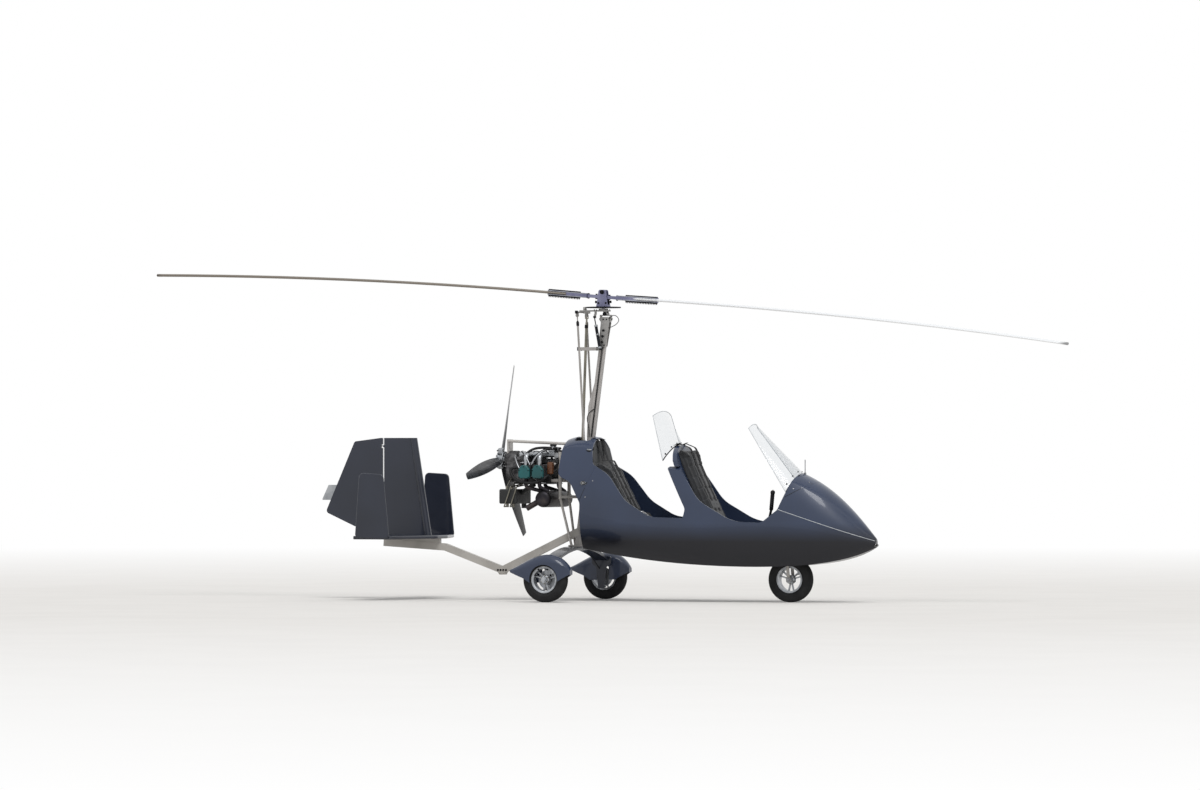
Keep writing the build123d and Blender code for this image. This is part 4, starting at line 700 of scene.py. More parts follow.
form = bmesh.new()
HEAD_SCREWS = [
    ((37, -39, 2483), (0, -1, 0), 20, 9), ((37, 39, 2483), (0, 1, 0), 20, 9),
    ((-150, -18, 2517), (0, 0, 1), 9, 5), ((-150, 18, 2517), (0, 0, 1), 9, 5),
    ((-60, -26, 2517), (0, 0, 1), 9, 5), ((-60, 26, 2517), (0, 0, 1), 9, 5),
    ((60, -26, 2517), (0, 0, 1), 9, 5), ((60, 26, 2517), (0, 0, 1), 9, 5),
]
for place, direction, across, height in HEAD_SCREWS:
    hex_head(form, facing(place, direction), across, height)
for side in (-1, 1):
    rounded_block(form, facing((-186, side * 136, 2499), (0, 0, 1)), (26, 12, 26), 3)
    hex_head(form, facing((-186, side * 142, 2499), (0, side, 0)), 11, 6)
close_form(form, "head_screws", "rotor_head", black_bolt)

form = bmesh.new()
for turn in range(0, 360, 4):
    tooth = Matrix.Translation(mm(12, 0, 2540)) @ Matrix.Rotation(radians(turn), 4, "Z")
    rounded_block(form, tooth @ Matrix.Translation(mm(150.6, 0, 0)), (5, 4.6, 9.4), 0.7, 1)
for turn in range(0, 360, 60):
    spot = (12 + 62 * cos(radians(turn)), 62 * sin(radians(turn)), 2545)
    hex_head(form, facing(spot, (0, 0, 1)), 8, 3)
close_form(form, "ring_gear_teeth", "rotor_mount", anodised_black)

# %% [markdown]
# Three through bolts hold each mast plate, and their black heads show as dark
# dots on pale alloy. A thin sensor cable leaves the mast head, loops forward
# and goes back into the tube. A black clamp band ties the guide arm.

# %% Mast bolts and cables
form = bmesh.new()
for z in (2240, 2290, 2340):
    x = -215 + (z - 482) * 0.1292
    for side in (-1, 1):
        hex_head(form, facing((x, side * 38.5, z), (0, side, 0)), 13, 6)
for x, z in ((52, 2436), (22, 2436), (-4, 2212), (30, 2212)):
    for side in (-1, 1):
        hex_head(form, facing((x, side * 30.5, z), (0, side, 0)), 8, 4)
for side in (-1, 1):
    for z in (2172, 2192):
        hex_head(form, facing((-30, side * 44, z), (0, side, 0)), 8, 4)
    rounded_block(form, facing((-206, side * 41, 2182), (0, 0, 1)), (16, 10, 32), 3)
rounded_block(form, facing((6, -44, 2183), (0, 0, 1)), (22, 10, 24), 3)
close_form(form, "mast_bolts", "airframe", black_bolt)

MAST_CABLES = [
    (3, (70, -28, 2440), (98, -31, 2464), (128, -32, 2474), (160, -32, 2452), (168, -30, 2422), (142,
        -28, 2392),
     (108, -24, 2376), (68, -14, 2360)),
    (3.4, (18, -25, 2250), (-2, -26, 2120), (-22, -26, 1960), (-58, -26, 1680), (-92, -26, 1420)),
    (2.6, (30, -25, 2250), (8, -26, 2120), (-14, -26, 1960), (-50, -26, 1680), (-84, -26, 1420)),
    (4, (-64, 25, 1740), (-96, 28, 1700), (-118, 25, 1640), (-104, 24, 1560), (-118, 27, 1500), (-112,
        26, 1420)),
    (4, (-62, -25, 1660), (-100, -30, 1640), (-128, -28, 1590), (-120, -26, 1530), (-108, -26, 1480),
     (-110, -26, 1420)),
]
round_runs("mast_cables", "airframe", MAST_CABLES, hose_rubber)

# %% [markdown]
# A control rod ends in a screwed eye with a lock nut, and the sleeve beside it
# is blacked. The nuts turn with the rods, so they ride on the rods' bodies.

# %% Rod ends
for side, word in ((1, "left"), (-1, "right")):
    form = bmesh.new()
    lean = Vector((0.0594, 0, -1)).normalized()
    top = Vector((-186, side * 115, 2470))
    hex_head(form, facing(top + lean * 46, lean), 16, 8, washer=False)
    turned(form, facing(top + lean * 56, lean), [(5, 0), (12, 0), (12.5, 2), (12.5, 30), (9.2, 36),
                                                 (9.2, 0)], 20,
           ring=True)
    close_form(form, f"rod_end_fittings_{word}", f"control_rod_{word}", black_bolt)
form = bmesh.new()
lean = Vector((-0.036, 0, -1)).normalized()
turned(form, facing(Vector((-140, 0, 2468)) + lean * 78, lean),
       [(12, 0), (15, 0), (16, 3), (16, 26), (15, 29), (12, 29)], 24, ring=True)
close_form(form, "shaft_collar", "prerotator_shaft", black_bolt)

# %% [markdown]
# The trim cylinder is a small black air cylinder with bright end caps and a
# polished rod.

# %% Trim cylinder caps
form = bmesh.new()
trim_axis = Vector((52, 0, -282)).normalized()
trim_top = Vector((-46, -66, 2457))
for distance, length in ((70, 16), (150, 10), (262, 16)):
    turned(form, facing(trim_top + trim_axis * distance, trim_axis),
           [(13, 0), (15, 0), (15.4, 1), (15.4, length - 1), (15, length), (13, length)], 28, ring=True)
close_form(form, "trim_cylinder_caps", "airframe", machined_alloy)

# %% [markdown]
# The seats are covered in thick black fabric over foam. A cushion is flat only
# where it rests on its shell, and its front swells between the seams. Each one
# starts as a slightly smaller copy of its solid, made of small even squares,
# and cloth simulation blows it up like a balloon with its back face pinned.
# The sewn channels are then pressed in across it.

# %% Seat fabric
seat_fabric, fabric_shader = new_finish("black_seat_fabric", "#17181b", 0.86, Sheen_Weight=0.35,
                                        Sheen_Roughness=0.5)
vary_colour(seat_fabric, fabric_shader, patches(seat_fabric, 60, 4), "#121316", "#1f2125")
fabric_place = add_node(seat_fabric, "TexCoord")
# a spacer mesh has cells of 2 mm, drawn at 4 mm so that they show
cells = add_node(seat_fabric, "TexVoronoi", [(fabric_place.outputs["Object"], "Vector")], Scale=250.0)
raise_bumps(seat_fabric, fabric_shader, cells.outputs["Distance"], 0.15, 0.25)

# %% Blow up one cushion
SWELL_CAP = 0.024         # metres
PINNED_DEPTH = 0.012
LAST_FRAME = 20


def swell(piece, flat_side):
    """Cloth under pressure, with the vertices nearest the flat side pinned."""
    coords = [vert.co.copy() for vert in piece.data.vertices]
    depth = [co.dot(flat_side) for co in coords]
    low = min(depth)
    pinned = piece.vertex_groups.new(name="on_shell")
    pinned.add([i for i, d in enumerate(depth) if d < low + PINNED_DEPTH], 1, "REPLACE")
    cloth = piece.modifiers.new("cloth", "CLOTH")
    cloth.settings.use_pressure = True
    cloth.settings.uniform_pressure_force = 4
    cloth.settings.effector_weights.gravity = 0
    cloth.settings.vertex_group_mass = "on_shell"
    cloth.settings.quality = 4
    cloth.point_cache.frame_start = 1
    cloth.point_cache.frame_end = LAST_FRAME
    scene = bpy.context.scene
    for step in range(1, LAST_FRAME + 1):
        scene.frame_set(step)
    settled = piece.evaluated_get(bpy.context.evaluated_depsgraph_get())
    after = [vert.co.copy() for vert in settled.data.vertices]
    piece.modifiers.remove(cloth)
    piece.vertex_groups.remove(pinned)
    for vert, start, end in zip(piece.data.vertices, coords, after):
        move = end - start
        if move.length > SWELL_CAP:
            move *= SWELL_CAP / move.length
        vert.co = start + move
    scene.frame_set(1)


# %% [markdown]
# A sewn channel is a valley a few millimetres deep. Each vertex near a channel
# line is drawn back towards the shell, less and less with distance, so that
# the padding rolls up between two lines.

# %% Press in the sewn channels
def press_channels(piece, flat_side, along, pitch, depth, across_lines=()):
    coords = [vert.co.copy() for vert in piece.data.vertices]
    low = min(co.dot(along) for co in coords)
    shell = min(co.dot(flat_side) for co in coords)
    tall = max(co.dot(flat_side) for co in coords) - shell
    for vert, co in zip(piece.data.vertices, coords):
        rise = (co.dot(flat_side) - shell) / tall
        if rise < 0.3:
            continue
        place = (co.dot(along) - low) / pitch
        gap = abs(place - round(place)) * pitch
        fall = depth * (1 - min(gap / 0.016, 1)) ** 2
        for line in across_lines:
            side_gap = abs(abs(co.y) - line)
            fall = max(fall, depth * (1 - min(side_gap / 0.014, 1)) ** 2)
        vert.co = co - flat_side * fall * min(1, (rise - 0.3) * 3)
    piece.data.update()


# %% Make the four cushions
def split_solids(node_name):
    """Copies of a node's separate solids, as bmeshes with their doubles merged."""
    whole = bmesh.new()
    whole.from_mesh(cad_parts[node_name].data)
    bmesh.ops.remove_doubles(whole, verts=whole.verts, dist=0.00001)
    left = set(whole.verts)
    solids = []
    while left:
        group, edge_of = set(), [left.pop()]
        while edge_of:
            vert = edge_of.pop()
            group.add(vert)
            for edge in vert.link_edges:
                other = edge.other_vert(vert)
                if other in left:
                    left.discard(other)
                    edge_of.append(other)
        solids.append(group)
    forms = []
    for group in solids:
        form = whole.copy()
        form.verts.ensure_lookup_table()
        keep = {vert.index for vert in group}
        bmesh.ops.delete(form, geom=[vert for vert in form.verts if vert.index not in keep],
                         context="VERTS")
        forms.append(form)
    whole.free()
    return forms


# node, then for its lower and its upper solid: name, the way the padding faces, the way the channels climb
CUSHIONS = {
    "front_cushions": [("front_seat_base", (0, 0, 1), (1, 0, 0), 0.095),
                       ("front_seat_back", (0.912, 0, 0.41), (-0.41, 0, 0.912), 0.105)],
    "rear_cushions": [("rear_seat_base", (0, 0, 1), (1, 0, 0), 0.075),
                      ("rear_seat_back", (0.889, 0, 0.458), (-0.458, 0, 0.889), 0.105)],
}
cushion_pieces = []
for node_name, rows in CUSHIONS.items():
    forms = sorted(split_solids(node_name), key=lambda form: sum(v.co.z for v in form.verts) / len(form.verts))
    for form, (name, pad_way, climb, pitch) in zip(forms, rows):
        flat_side, climb = Vector(pad_way).normalized(), Vector(climb).normalized()
        middle = sum((v.co for v in form.verts), Vector()) / len(form.verts)
        shell = min(v.co.dot(flat_side) for v in form.verts)
        for vert in form.verts:
            inward = vert.co - middle
            lift = vert.co.dot(flat_side) - shell
            vert.co = middle + inward * 0.965
            vert.co -= flat_side * lift * 0.16
            vert.co += flat_side * max(0, shell - vert.co.dot(flat_side))
        mesh = bpy.data.meshes.new(name)
        form.to_mesh(mesh)
        form.free()
        piece = bpy.data.objects.new(name, mesh)
        bpy.context.collection.objects.link(piece)
        grain = piece.modifiers.new("even_squares", "REMESH")
        grain.mode = "VOXEL"
        grain.voxel_size = 0.008
        fine = bpy.data.meshes.new_from_object(piece.evaluated_get(bpy.context.evaluated_depsgraph_get()))
        piece.modifiers.clear()
        piece.data = fine
        swell(piece, flat_side)
        press_channels(piece, flat_side, climb, pitch, 0.009, (0.115,))
        smooth = piece.modifiers.new("smooth", "SUBSURF")
        smooth.levels = smooth.render_levels = 1
        piece.data.shade_smooth()
        piece.data.materials.clear()
        piece.data.materials.append(seat_fabric)
        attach(piece, "airframe")
        cushion_pieces.append(piece)
        print(name, len(piece.data.vertices), "vertices")
    for piece in cushion_pieces[-2:]:
        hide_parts(node_name)

# %% [markdown]
# Harness webbing is flat, so it is laid along listed points: one edge as wide as the strap is drawn along its path,
# its folds are rounded, and the sheet is given a thickness. Grey stitches run down it, and a pressed steel buckle
# joins the four straps.

# %% Harness
STRAP_THICKNESS = 0.0024


def webbing(form, path, half_across, fold=0):
    """A strap through points in mm; half_across goes from its middle to its edge."""
    points = [Vector(point) for point in path]
    near, far = [form.verts.new(mm(*(points[0] + half))) for half in (-half_across, half_across)]
    edge = form.edges.new((near, far))
    folds = []
    for before, after in zip(points, points[1:]):
        made = bmesh.ops.extrude_edge_only(form, edges=[edge])
        verts = [item for item in made["geom"] if isinstance(item, bmesh.types.BMVert)]
        bmesh.ops.translate(form, verts=verts, vec=mm(*after) - mm(*before))
        edge = [item for item in made["geom"] if isinstance(item, bmesh.types.BMEdge)
                and all(v in verts for v in item.verts)][0]
        folds.append(edge)
    if fold:
        bmesh.ops.bevel(form, geom=folds[:-1], offset=fold / 1000, affect="EDGES", segments=4,
                        profile=0.5,
                        material=-1)


def stitches(form, path, offsets, pitch, size):
    """Small thread blocks that lie along a strap's path."""
    for before, after in zip(path, path[1:]):
        start, end = Vector(before), Vector(after)
        run = end - start
        for count in range(int(run.length // pitch)):
            spot = start + run.normalized() * pitch * (count + 0.5)
            for offset in offsets:
                lie = facing((spot.x, spot.y + offset, spot.z), run)
                rounded_block(form, lie, size, 0.4, 1)


FRONT_OVER = [(716, 1300), (716, 1352), (738, 1360), (768, 1349), (828, 1326), (858, 1275), (889, 1170),
              (985, 955), (1080, 745), (1158, 610)]
REAR_OVER = [(-36, 1360), (-34, 1402), (-14, 1396), (2, 1300), (34, 1212), (84, 1216), (106, 1184),
             (180, 1040), (262, 882), (338, 742)]
webbing_form = bmesh.new()
stitch_form = bmesh.new()
for over, low_y, high_y in ((FRONT_OVER, 40, 95), (REAR_OVER, 40, 78)):
    for side in (-1, 1):
        count = len(over) - 1
        path = [(x + 3, side * (high_y + (low_y - high_y) * step / count), z + 2) for step, (x,
            z) in enumerate(over)]
        webbing(webbing_form, path, Vector((0, 23, 0)), 12)
        stitches(stitch_form, path, (-19, 19), 36, (2.4, 3.4, 12))
bmesh.ops.solidify(webbing_form, geom=webbing_form.faces[:], thickness=STRAP_THICKNESS)
close_form(webbing_form, "shoulder_straps", "airframe", strap_webbing)
close_form(stitch_form, "strap_stitches", "airframe", grey_thread)

LAP_BELTS = [
    ((1085, -218, 480), (1100, -214, 520), (1150, -190, 548), (1196, -120, 556), (1206, -44, 566)),
    ((330, -206, 660), (350, -204, 712), (392, -176, 738), (410, -110, 742), (402, -44, 752)),
]
LAP_HALF = Vector((0.55, 0, -0.83)) * 23
lap_form = bmesh.new()
for path in LAP_BELTS:
    for side in (-1, 1):
        webbing(lap_form, [(x, side * y, z) for x, y, z in path], LAP_HALF)
bmesh.ops.solidify(lap_form, geom=lap_form.faces[:], thickness=STRAP_THICKNESS)
close_form(lap_form, "lap_belts", "airframe", strap_webbing)

buckle_form = bmesh.new()
for place, normal in (((1196, 0, 572), (0.6, 0, 0.8)), ((396, 0, 752), (0.6, 0, 0.8))):
    rounded_block(buckle_form, facing(place, normal), (62, 82, 12), 4, 3)
    turned(buckle_form, facing(Vector(place) + Vector(normal) * 6, normal),
           [(0, 0), (20, 0), (20, 3), (17, 5), (6, 5), (5, 3.6), (0, 3.6)], 28)
close_form(buckle_form, "harness_buckles", "airframe", ground_steel)

# %% [markdown]
# The flat-four engine carries its plumbing outside. Coolant runs in thick
# black hoses from the heads to a tank on top, fuel and oil run in thinner
# hoses under a silver braid, and spark leads drop to the plugs. Each hose is
# a soft curve through the points where the photograph shows it, and the far
# side is a mirrored copy.

# %% Hoses and leads
COOLANT_HOSES = [
    (13, (-668, -245, 1150), (-725, -262, 1160), (-752, -275, 1120), (-700, -284, 1045), (-620, -284,
        1022),
     (-540, -282, 1018), (-470, -270, 1040), (-425, -235, 1075), (-412, -190, 1095)),
    (11, (-551, -250, 1180), (-551, -215, 1235), (-500, -150, 1300), (-440, -90, 1318), (-400, -40,
        1320)),
    (11, (-640, -250, 1180), (-650, -220, 1240), (-600, -160, 1310), (-520, -90, 1330), (-450, -40,
        1322)),
    (12, (-420, -120, 1120), (-372, -150, 1150), (-352, -120, 1230), (-360, -60, 1290), (-420, -30,
        1300)),
]
round_runs("coolant_hoses", "airframe", COOLANT_HOSES + [port_copy(run) for run in COOLANT_HOSES],
           hose_rubber)

BRAIDED_HOSES = [
    (6, (-700, -60, 1270), (-690, -150, 1300), (-640, -215, 1290), (-600, -265, 1235), (-560, -285,
        1180)),
    (6, (-470, -60, 1275), (-460, -160, 1305), (-470, -230, 1295), (-520, -275, 1240), (-545, -285,
        1180)),
    (6, (-760, -70, 1240), (-750, -150, 1265), (-720, -215, 1235), (-690, -255, 1190), (-668, -268,
        1150)),
    (5, (-400, -60, 1020), (-420, -180, 1010), (-500, -240, 1030), (-560, -250, 1080)),
]
round_runs("braided_hoses", "airframe", BRAIDED_HOSES + [port_copy(run) for run in BRAIDED_HOSES],
           braided_steel)

SPARK_LEADS = []
for x in (-613, -489):
    for dx in (-16, 16):
        SPARK_LEADS.append((3.6, (x + dx, -110, 1230), (x + dx - 10, -190, 1262), (x + dx - 14, -240,
            1222),
                            (x + dx, -256, 1172)))
round_runs("spark_leads", "airframe", SPARK_LEADS + [port_copy(run) for run in SPARK_LEADS],
           hose_rubber)

# %% [markdown]
# Worm clamps hold the hoses on their stubs. Each is a thin steel band with a
# small screw box, set square to the hose.

# %% Hose clamps
HOSE_ENDS = [
    ((-551, -243, 1194), (0, 0.35, 1), 12), ((-640, -244, 1194), (-0.1, 0.3, 1), 12),
    ((-668, -249, 1151), (-1, -0.2, 0.1), 14), ((-414, -198, 1092), (0.3, 1, 0.3), 14),
    ((-415, -122, 1124), (1, -0.5, 0.5), 13), ((-432, -84, 1318), (1, 0.9, 0), 12),
]
form = bmesh.new()
for mirror in (1, -1):
    for (x, y, z), (dx, dy, dz), bore in HOSE_ENDS:
        seat = facing((x, mirror * y, z), (dx, mirror * dy, dz))
        turned(form, seat, [(bore, -4.5), (bore + 1.6, -4.5), (bore + 1.6, 4.5), (bore, 4.5)], 28,
               ring=True)
        rounded_block(form, seat @ Matrix.Translation(mm(bore + 4, 0, 0)), (7, 12, 8), 1.2, 1)
close_form(form, "hose_clamps", "airframe", ground_steel)

# %% [markdown]
# Two carburettors hang from the intake at the back of the engine. Each is a stack of cast parts: a flanged mouth, a
# body, a round top over the diaphragm and a bowl. The ignition boxes sit on the crankcase.

# %% Carburettors, ignition boxes, oil filter and tank
form = bmesh.new()
for side in (-1, 1):
    rounded_block(form, facing((-672, side * 120, 1226), (0, 0, 1)), (58, 52, 44), 7, 3)
    turned(form, facing((-672, side * 120, 1246), (0, 0, 1)),
           [(0, 0), (29, 0), (29, 4), (27, 6), (27, 12), (24, 16), (10, 18), (0, 18)], 32)
    turned(form, facing((-672, side * 120, 1206), (0, 0, -1)),
           [(0, 0), (24, 0), (24, 10), (20, 24), (6, 28), (0, 28)], 28)
    turned(form, facing((-700, side * 120, 1226), (-1, 0, 0)),
           [(16, 0), (26, 0), (26, 6), (20, 8), (20, 22), (25, 34), (23, 34), (16, 22)], 32, ring=True)
    turned(form, facing((-645, side * 120, 1226), (1, 0, 0)), [(0, 0), (24, 0), (24, 8), (18, 10), (18,
        34), (0, 34)], 28)
close_form(form, "carburettors", "airframe", cast_alloy)

form = bmesh.new()
for side in (-1, 1):
    rounded_block(form, facing((-590, side * 96, 1212), (0, 0, 1)), (84, 40, 42), 5, 3)
    rounded_block(form, facing((-500, side * 96, 1212), (0, 0, 1)), (64, 40, 42), 5, 3)
    for fin in range(6):
        rounded_block(form, facing((-622 + 13 * fin, side * 96, 1236), (0, 0, 1)), (4, 36, 9), 1, 1)
turned(form, facing((-432, -52, 1092), (1, 0, 0.05)),
       [(0, 0), (33, 0), (35, 4), (35, 50), (33, 56), (28, 60), (18, 62), (0, 62)], 40)
for ridge in range(12):
    spot = facing((-378, -52, 1095), (1, 0, 0.05)) @ Matrix.Rotation(radians(30 * ridge), 4, "Z")
    rounded_block(form, spot @ Matrix.Translation(mm(27, 0, 4)), (6, 3, 10), 1, 1)
close_form(form, "ignition_boxes", "airframe", black_heat_paint)

form = bmesh.new()
turned(form, facing((-450, 0, 1290), (0, 0, 1)),
       [(0, 0), (40, 0), (44, 4), (44, 34), (40, 42), (24, 46), (24, 50), (0, 50)], 40)
rounded_block(form, facing((-450, 52, 1304), (0, 0, 1)), (24, 24, 14), 4, 2)
close_form(form, "coolant_tank", "airframe", machined_alloy)

form = bmesh.new()
turned(form, facing((-450, 0, 1340), (0, 0, 1)), [(0, 0), (27, 0), (28, 3), (28, 12), (24, 16), (0,
    17)], 24)
for lug in range(8):
    spot = facing((-450, 0, 1347), (0, 0, 1)) @ Matrix.Rotation(radians(45 * lug), 4, "Z")
    rounded_block(form, spot @ Matrix.Translation(mm(28, 0, 0)), (5, 8, 11), 1.4, 1)
turned(form, facing((-400, -200, 1205), (0, 0, 1)), [(0, 0), (17, 0), (17, 14), (15, 17), (0, 17)], 24)
close_form(form, "tank_caps", "airframe", grain_plastic)

form = bmesh.new()
rounded_block(form, facing((-400, -200, 1150), (0, 0, 1)), (52, 46, 104), 11, 4)
turned(form, facing((-400, -200, 1198), (0, 0, 1)), [(0, 0), (14, 0), (14, 12), (0, 12)], 24)
for rib in range(3):
    rounded_block(form, facing((-400, -200, 1122 + 26 * rib), (0, 0, 1)), (54, 48, 3), 1.2, 1)
close_form(form, "overflow_bottle", "airframe", amber_plastic)

# %% [markdown]
# The engine's covers are held by small black screws. A row of studs runs round
# each cylinder head, and the intake pipes end in two-bolt flanges.

# %% Engine screws
form = bmesh.new()
CRANK_HEIGHT = 1116
for x in (-613, -489):
    for side in (-1, 1):
        for dx, dz in ((-42, -46), (42, -46), (-42, 12), (42, 12), (0, 46)):
            hex_head(form, facing((x + dx, side * 296, CRANK_HEIGHT + dz), (0, side, 0)), 9, 5)
        for dx in (-34, 34):
            hex_head(form, facing((x + dx, side * 252, CRANK_HEIGHT + 56), (0, 0, 1)), 9, 6)
            hex_head(form, facing((x + dx, side * 252, CRANK_HEIGHT - 56), (0, 0, -1)), 9, 6)
for x in range(-730, -430, 60):
    for side in (-1, 1):
        hex_head(form, facing((x, side * 48, 1290), (0, 0, 1)), 8, 4)
for turn in range(0, 360, 45):
    spot = (-830, 74 * sin(radians(turn)), 1116 + 74 * cos(radians(turn)))
    hex_head(form, facing(spot, (-1, 0, 0)), 9, 5)
close_form(form, "engine_screws", "airframe", black_bolt)

# %% [markdown]
# The propeller blades sit in split alloy cuffs between two hub plates, and a
# ring of bolts pulls the plates together. All of it turns with the propeller.

# %% Propeller hub
PROP_CENTRE = (-925, 0, 1228)
BLADE_TURNS = (-20, 100, 220)
form = bmesh.new()
for direction, height in ((1, 22), (-1, 26)):
    turned(form, facing((PROP_CENTRE[0] + direction * 18, 0, PROP_CENTRE[2]), (direction, 0, 0)),
           [(0, 0), (66, 0), (68, 2), (68, 10), (62, 13), (34, 14), (30, height), (0, height)], 48)
for turn in BLADE_TURNS:
    outward = Vector((0, sin(radians(turn)), cos(radians(turn))))
    start = Vector(PROP_CENTRE) + outward * 44
    turned(form, facing(start, outward),
           [(0, 0), (27, 0), (29, 3), (29, 22), (27, 25), (27, 48), (25, 51), (0, 51)], 32)
close_form(form, "propeller_cuffs", "propeller", machined_alloy)

form = bmesh.new()
for turn in range(0, 360, 60):
    for direction in (1, -1):
        spot = Vector(PROP_CENTRE) + Vector((direction * 31, 50 * sin(radians(turn)),
                                             50 * cos(radians(turn))))
        hex_head(form, facing(spot, (direction, 0, 0)), 13, 7)
for turn in BLADE_TURNS:
    outward = Vector((0, sin(radians(turn)), cos(radians(turn))))
    across = Vector((0, outward.z, -outward.y))
    for direction in (1, -1):
        for reach in (58, 82):
            spot = Vector(PROP_CENTRE) + outward * reach + across * direction * 16 + Vector((-26, 0, 0))
            hex_head(form, facing(spot, (-1, 0, 0)), 9, 5)
close_form(form, "propeller_bolts", "propeller", black_bolt)

# %% [markdown]
# A formed clear sheet shows mostly by its edge, which gathers light into a pale line. A thin pale bead, a painted
# highlight, follows each screen's outline for that edge, and a black rubber seal lies along its foot. The sheet's
# section is a circular arc in a sloping plane, so both follow the same arc.

# %% Screen edges and seals
SCREEN_UP = Vector((0.392, 0, 0.92))
SCREENS = {
    "front": ((1830, 1104, 258, 172), (1397, 1529, 122, 38)),
    "rear": ((717, 1354, 282, 150), (570, 1642, 238, 44)),
}


def screen_arc(x, z, half_width, drop, lift=0.0, count=25):
    """Points across one end of a screen, from its starboard to its port corner."""
    radius = (half_width ** 2 + drop ** 2) / (2 * drop)
    reach = 2 * atan(drop / half_width)
    turns = [reach * (2 * step / (count - 1) - 1) for step in range(count)]
    return [Vector((x, radius * sin(turn), z)) + SCREEN_UP * ((radius + lift) * cos(turn) - radius) for turn in turns]


edge_runs, seal_runs, screw_form = [], [], bmesh.new()
for word, (low_row, high_row) in SCREENS.items():
    low_arc, high_arc = screen_arc(*low_row, -2), screen_arc(*high_row, -2)
    edge_runs.append((3.2, *high_arc))
    for end in (0, -1):
        edge_runs.append((3.2, *[low_arc[end].lerp(high_arc[end], part / 6) for part in range(7)]))
    seal_runs.append((5, *low_arc))
    for index in range(2, 24, 4):
        spot = low_arc[index].lerp(high_arc[index], 0.05)
        outward = (spot - Vector((low_row[0], 0, low_row[1])) + SCREEN_UP * low_row[2]).normalized()
        for away in (1, -1):
            turned(screw_form, facing(spot + outward * away * 2.4, outward * away),
                   [(0, 0), (7, 0), (7, 1.2), (5.4, 3), (0, 3.4)], 16)
# the pale screen edges are a painted highlight
round_runs("screen_edges", "airframe", edge_runs, highlight_bead)
round_runs("screen_seals", "airframe", seal_runs, hose_rubber)
close_form(screw_form, "screen_screws", "airframe", black_bolt)

# %% [markdown]
# The body is laid up in panels. Where two meet there are dark gaps, and along the nose seam a thin pale line is a
# painted highlight on the seam's edge. Points along each seam are felt for on the body's side, and a thin bead joins
# them.

# %% Panel seams and fasteners
SEAMS = {
    "pale": [((1606, 832), (2488, 530), 26)],
    "dark": [((1656, 847), (2190, 1150), 16), ((58, 1210), (-126, 806), 14)],
}


def seam_run(start, end, steps, side, radius):
    points = []
    for step in range(steps + 1):
        part = step / steps
        found = on_body(start[0] + (end[0] - start[0]) * part, start[1] + (end[1] - start[1]) * part,
                        side)
        if found:
            points.append(found[0] - found[1] * (radius * 0.3))
    return (radius, *points)


pale_runs = [seam_run(*seam, side, 2.4) for seam in SEAMS["pale"] for side in (-1, 1)]
dark_runs = [seam_run(*seam, side, 2.2) for seam in SEAMS["dark"] for side in (-1, 1)]
# the pale nose seam beads are a painted highlight
round_runs("nose_seam_beads", "airframe", [run for run in pale_runs if len(run) > 3], highlight_bead)
round_runs("panel_seams", "airframe", [run for run in dark_runs if len(run) > 3], hose_rubber)

# start and end of a row of fasteners, and how many
FASTENER_ROWS = [((1720, 920), (2140, 1140), 5), ((86, 1180), (-40, 900), 3)]
form = bmesh.new()
for (x0, z0), (x1, z1), count in FASTENER_ROWS:
    for step in range(count):
        part = step / (count - 1)
        for side in (-1, 1):
            found = on_body(x0 + (x1 - x0) * part, z0 + (z1 - z0) * part, side)
            if found:
                seat = facing(found[0] - found[1] * 0.6, found[1])
                turned(form, seat, [(0, 0), (6, 0), (6, 1), (5, 2.2), (2, 2.4), (0, 2.4)], 16)
                rounded_block(form, seat @ Matrix.Translation(mm(0, 0, 2.3)), (6, 1.2, 0.8), 0.2, 1)
close_form(form, "body_fasteners", "airframe", ground_steel)

# %% [markdown]
# The instrument panel leans back towards the front seat. Three large dials
# stand over four small ones and a row of switches. Each dial is a bezel, a
# black face, printed ticks and a white needle, all on one sloping plane that
# is described by a point at its foot and the direction that climbs it.

# %% Instrument dials
PANEL_FOOT = Vector((1724, 0, 824))
PANEL_CLIMB = Vector((0.392, 0, 0.92))
PANEL_FACE = Vector((-0.92, 0, 0.392))
# distance across, distance up the panel, radius, angle of the needle
DIALS = [(-95, 250, 40, 40), (0, 250, 40, -60), (95, 250, 40, 120),
         (-108, 150, 28, 200), (-36, 150, 28, 30), (36, 150, 28, -20), (108, 150, 28, 150)]
bezels, faces, prints, switches = bmesh.new(), bmesh.new(), bmesh.new(), bmesh.new()
for across, up, radius, needle in DIALS:
    seat = facing(PANEL_FOOT + PANEL_CLIMB * up + Vector((0, across, 0)), PANEL_FACE)
    turned(bezels, seat, [(radius - 4, 0), (radius + 2, 0), (radius + 2, 3), (radius - 1, 6),
                          (radius - 4, 5)], 40,
           ring=True)
    turned(faces, seat, [(0, 0), (radius - 3, 0), (radius - 3, 2), (0, 2)], 36)
    turned(bezels, seat, [(0, 1), (4, 1), (4, 4), (0, 4.6)], 16)
    for tick in range(24):
        spin = seat @ Matrix.Rotation(radians(15 * tick), 4, "Z")
        length = 7 if tick % 3 == 0 else 4
        rounded_block(prints, spin @ Matrix.Translation(mm(radius - 6 - length / 2, 0, 2)), (length,
            1.1, 0.5), 0.1, 1)
    hand = seat @ Matrix.Rotation(radians(needle), 4, "Z")
    rounded_block(prints, hand @ Matrix.Translation(mm(radius * 0.28, 0, 3)), (radius * 0.72, 2, 0.7),
                  0.2, 1)
    for turn in range(45, 405, 90):
        screw = seat @ Matrix.Rotation(radians(turn), 4, "Z") @ Matrix.Translation(mm(radius + 6.5, 0,
            0))
        turned(bezels, screw, [(0, 0), (2.6, 0), (2.4, 1.2), (0, 1.6)], 10)
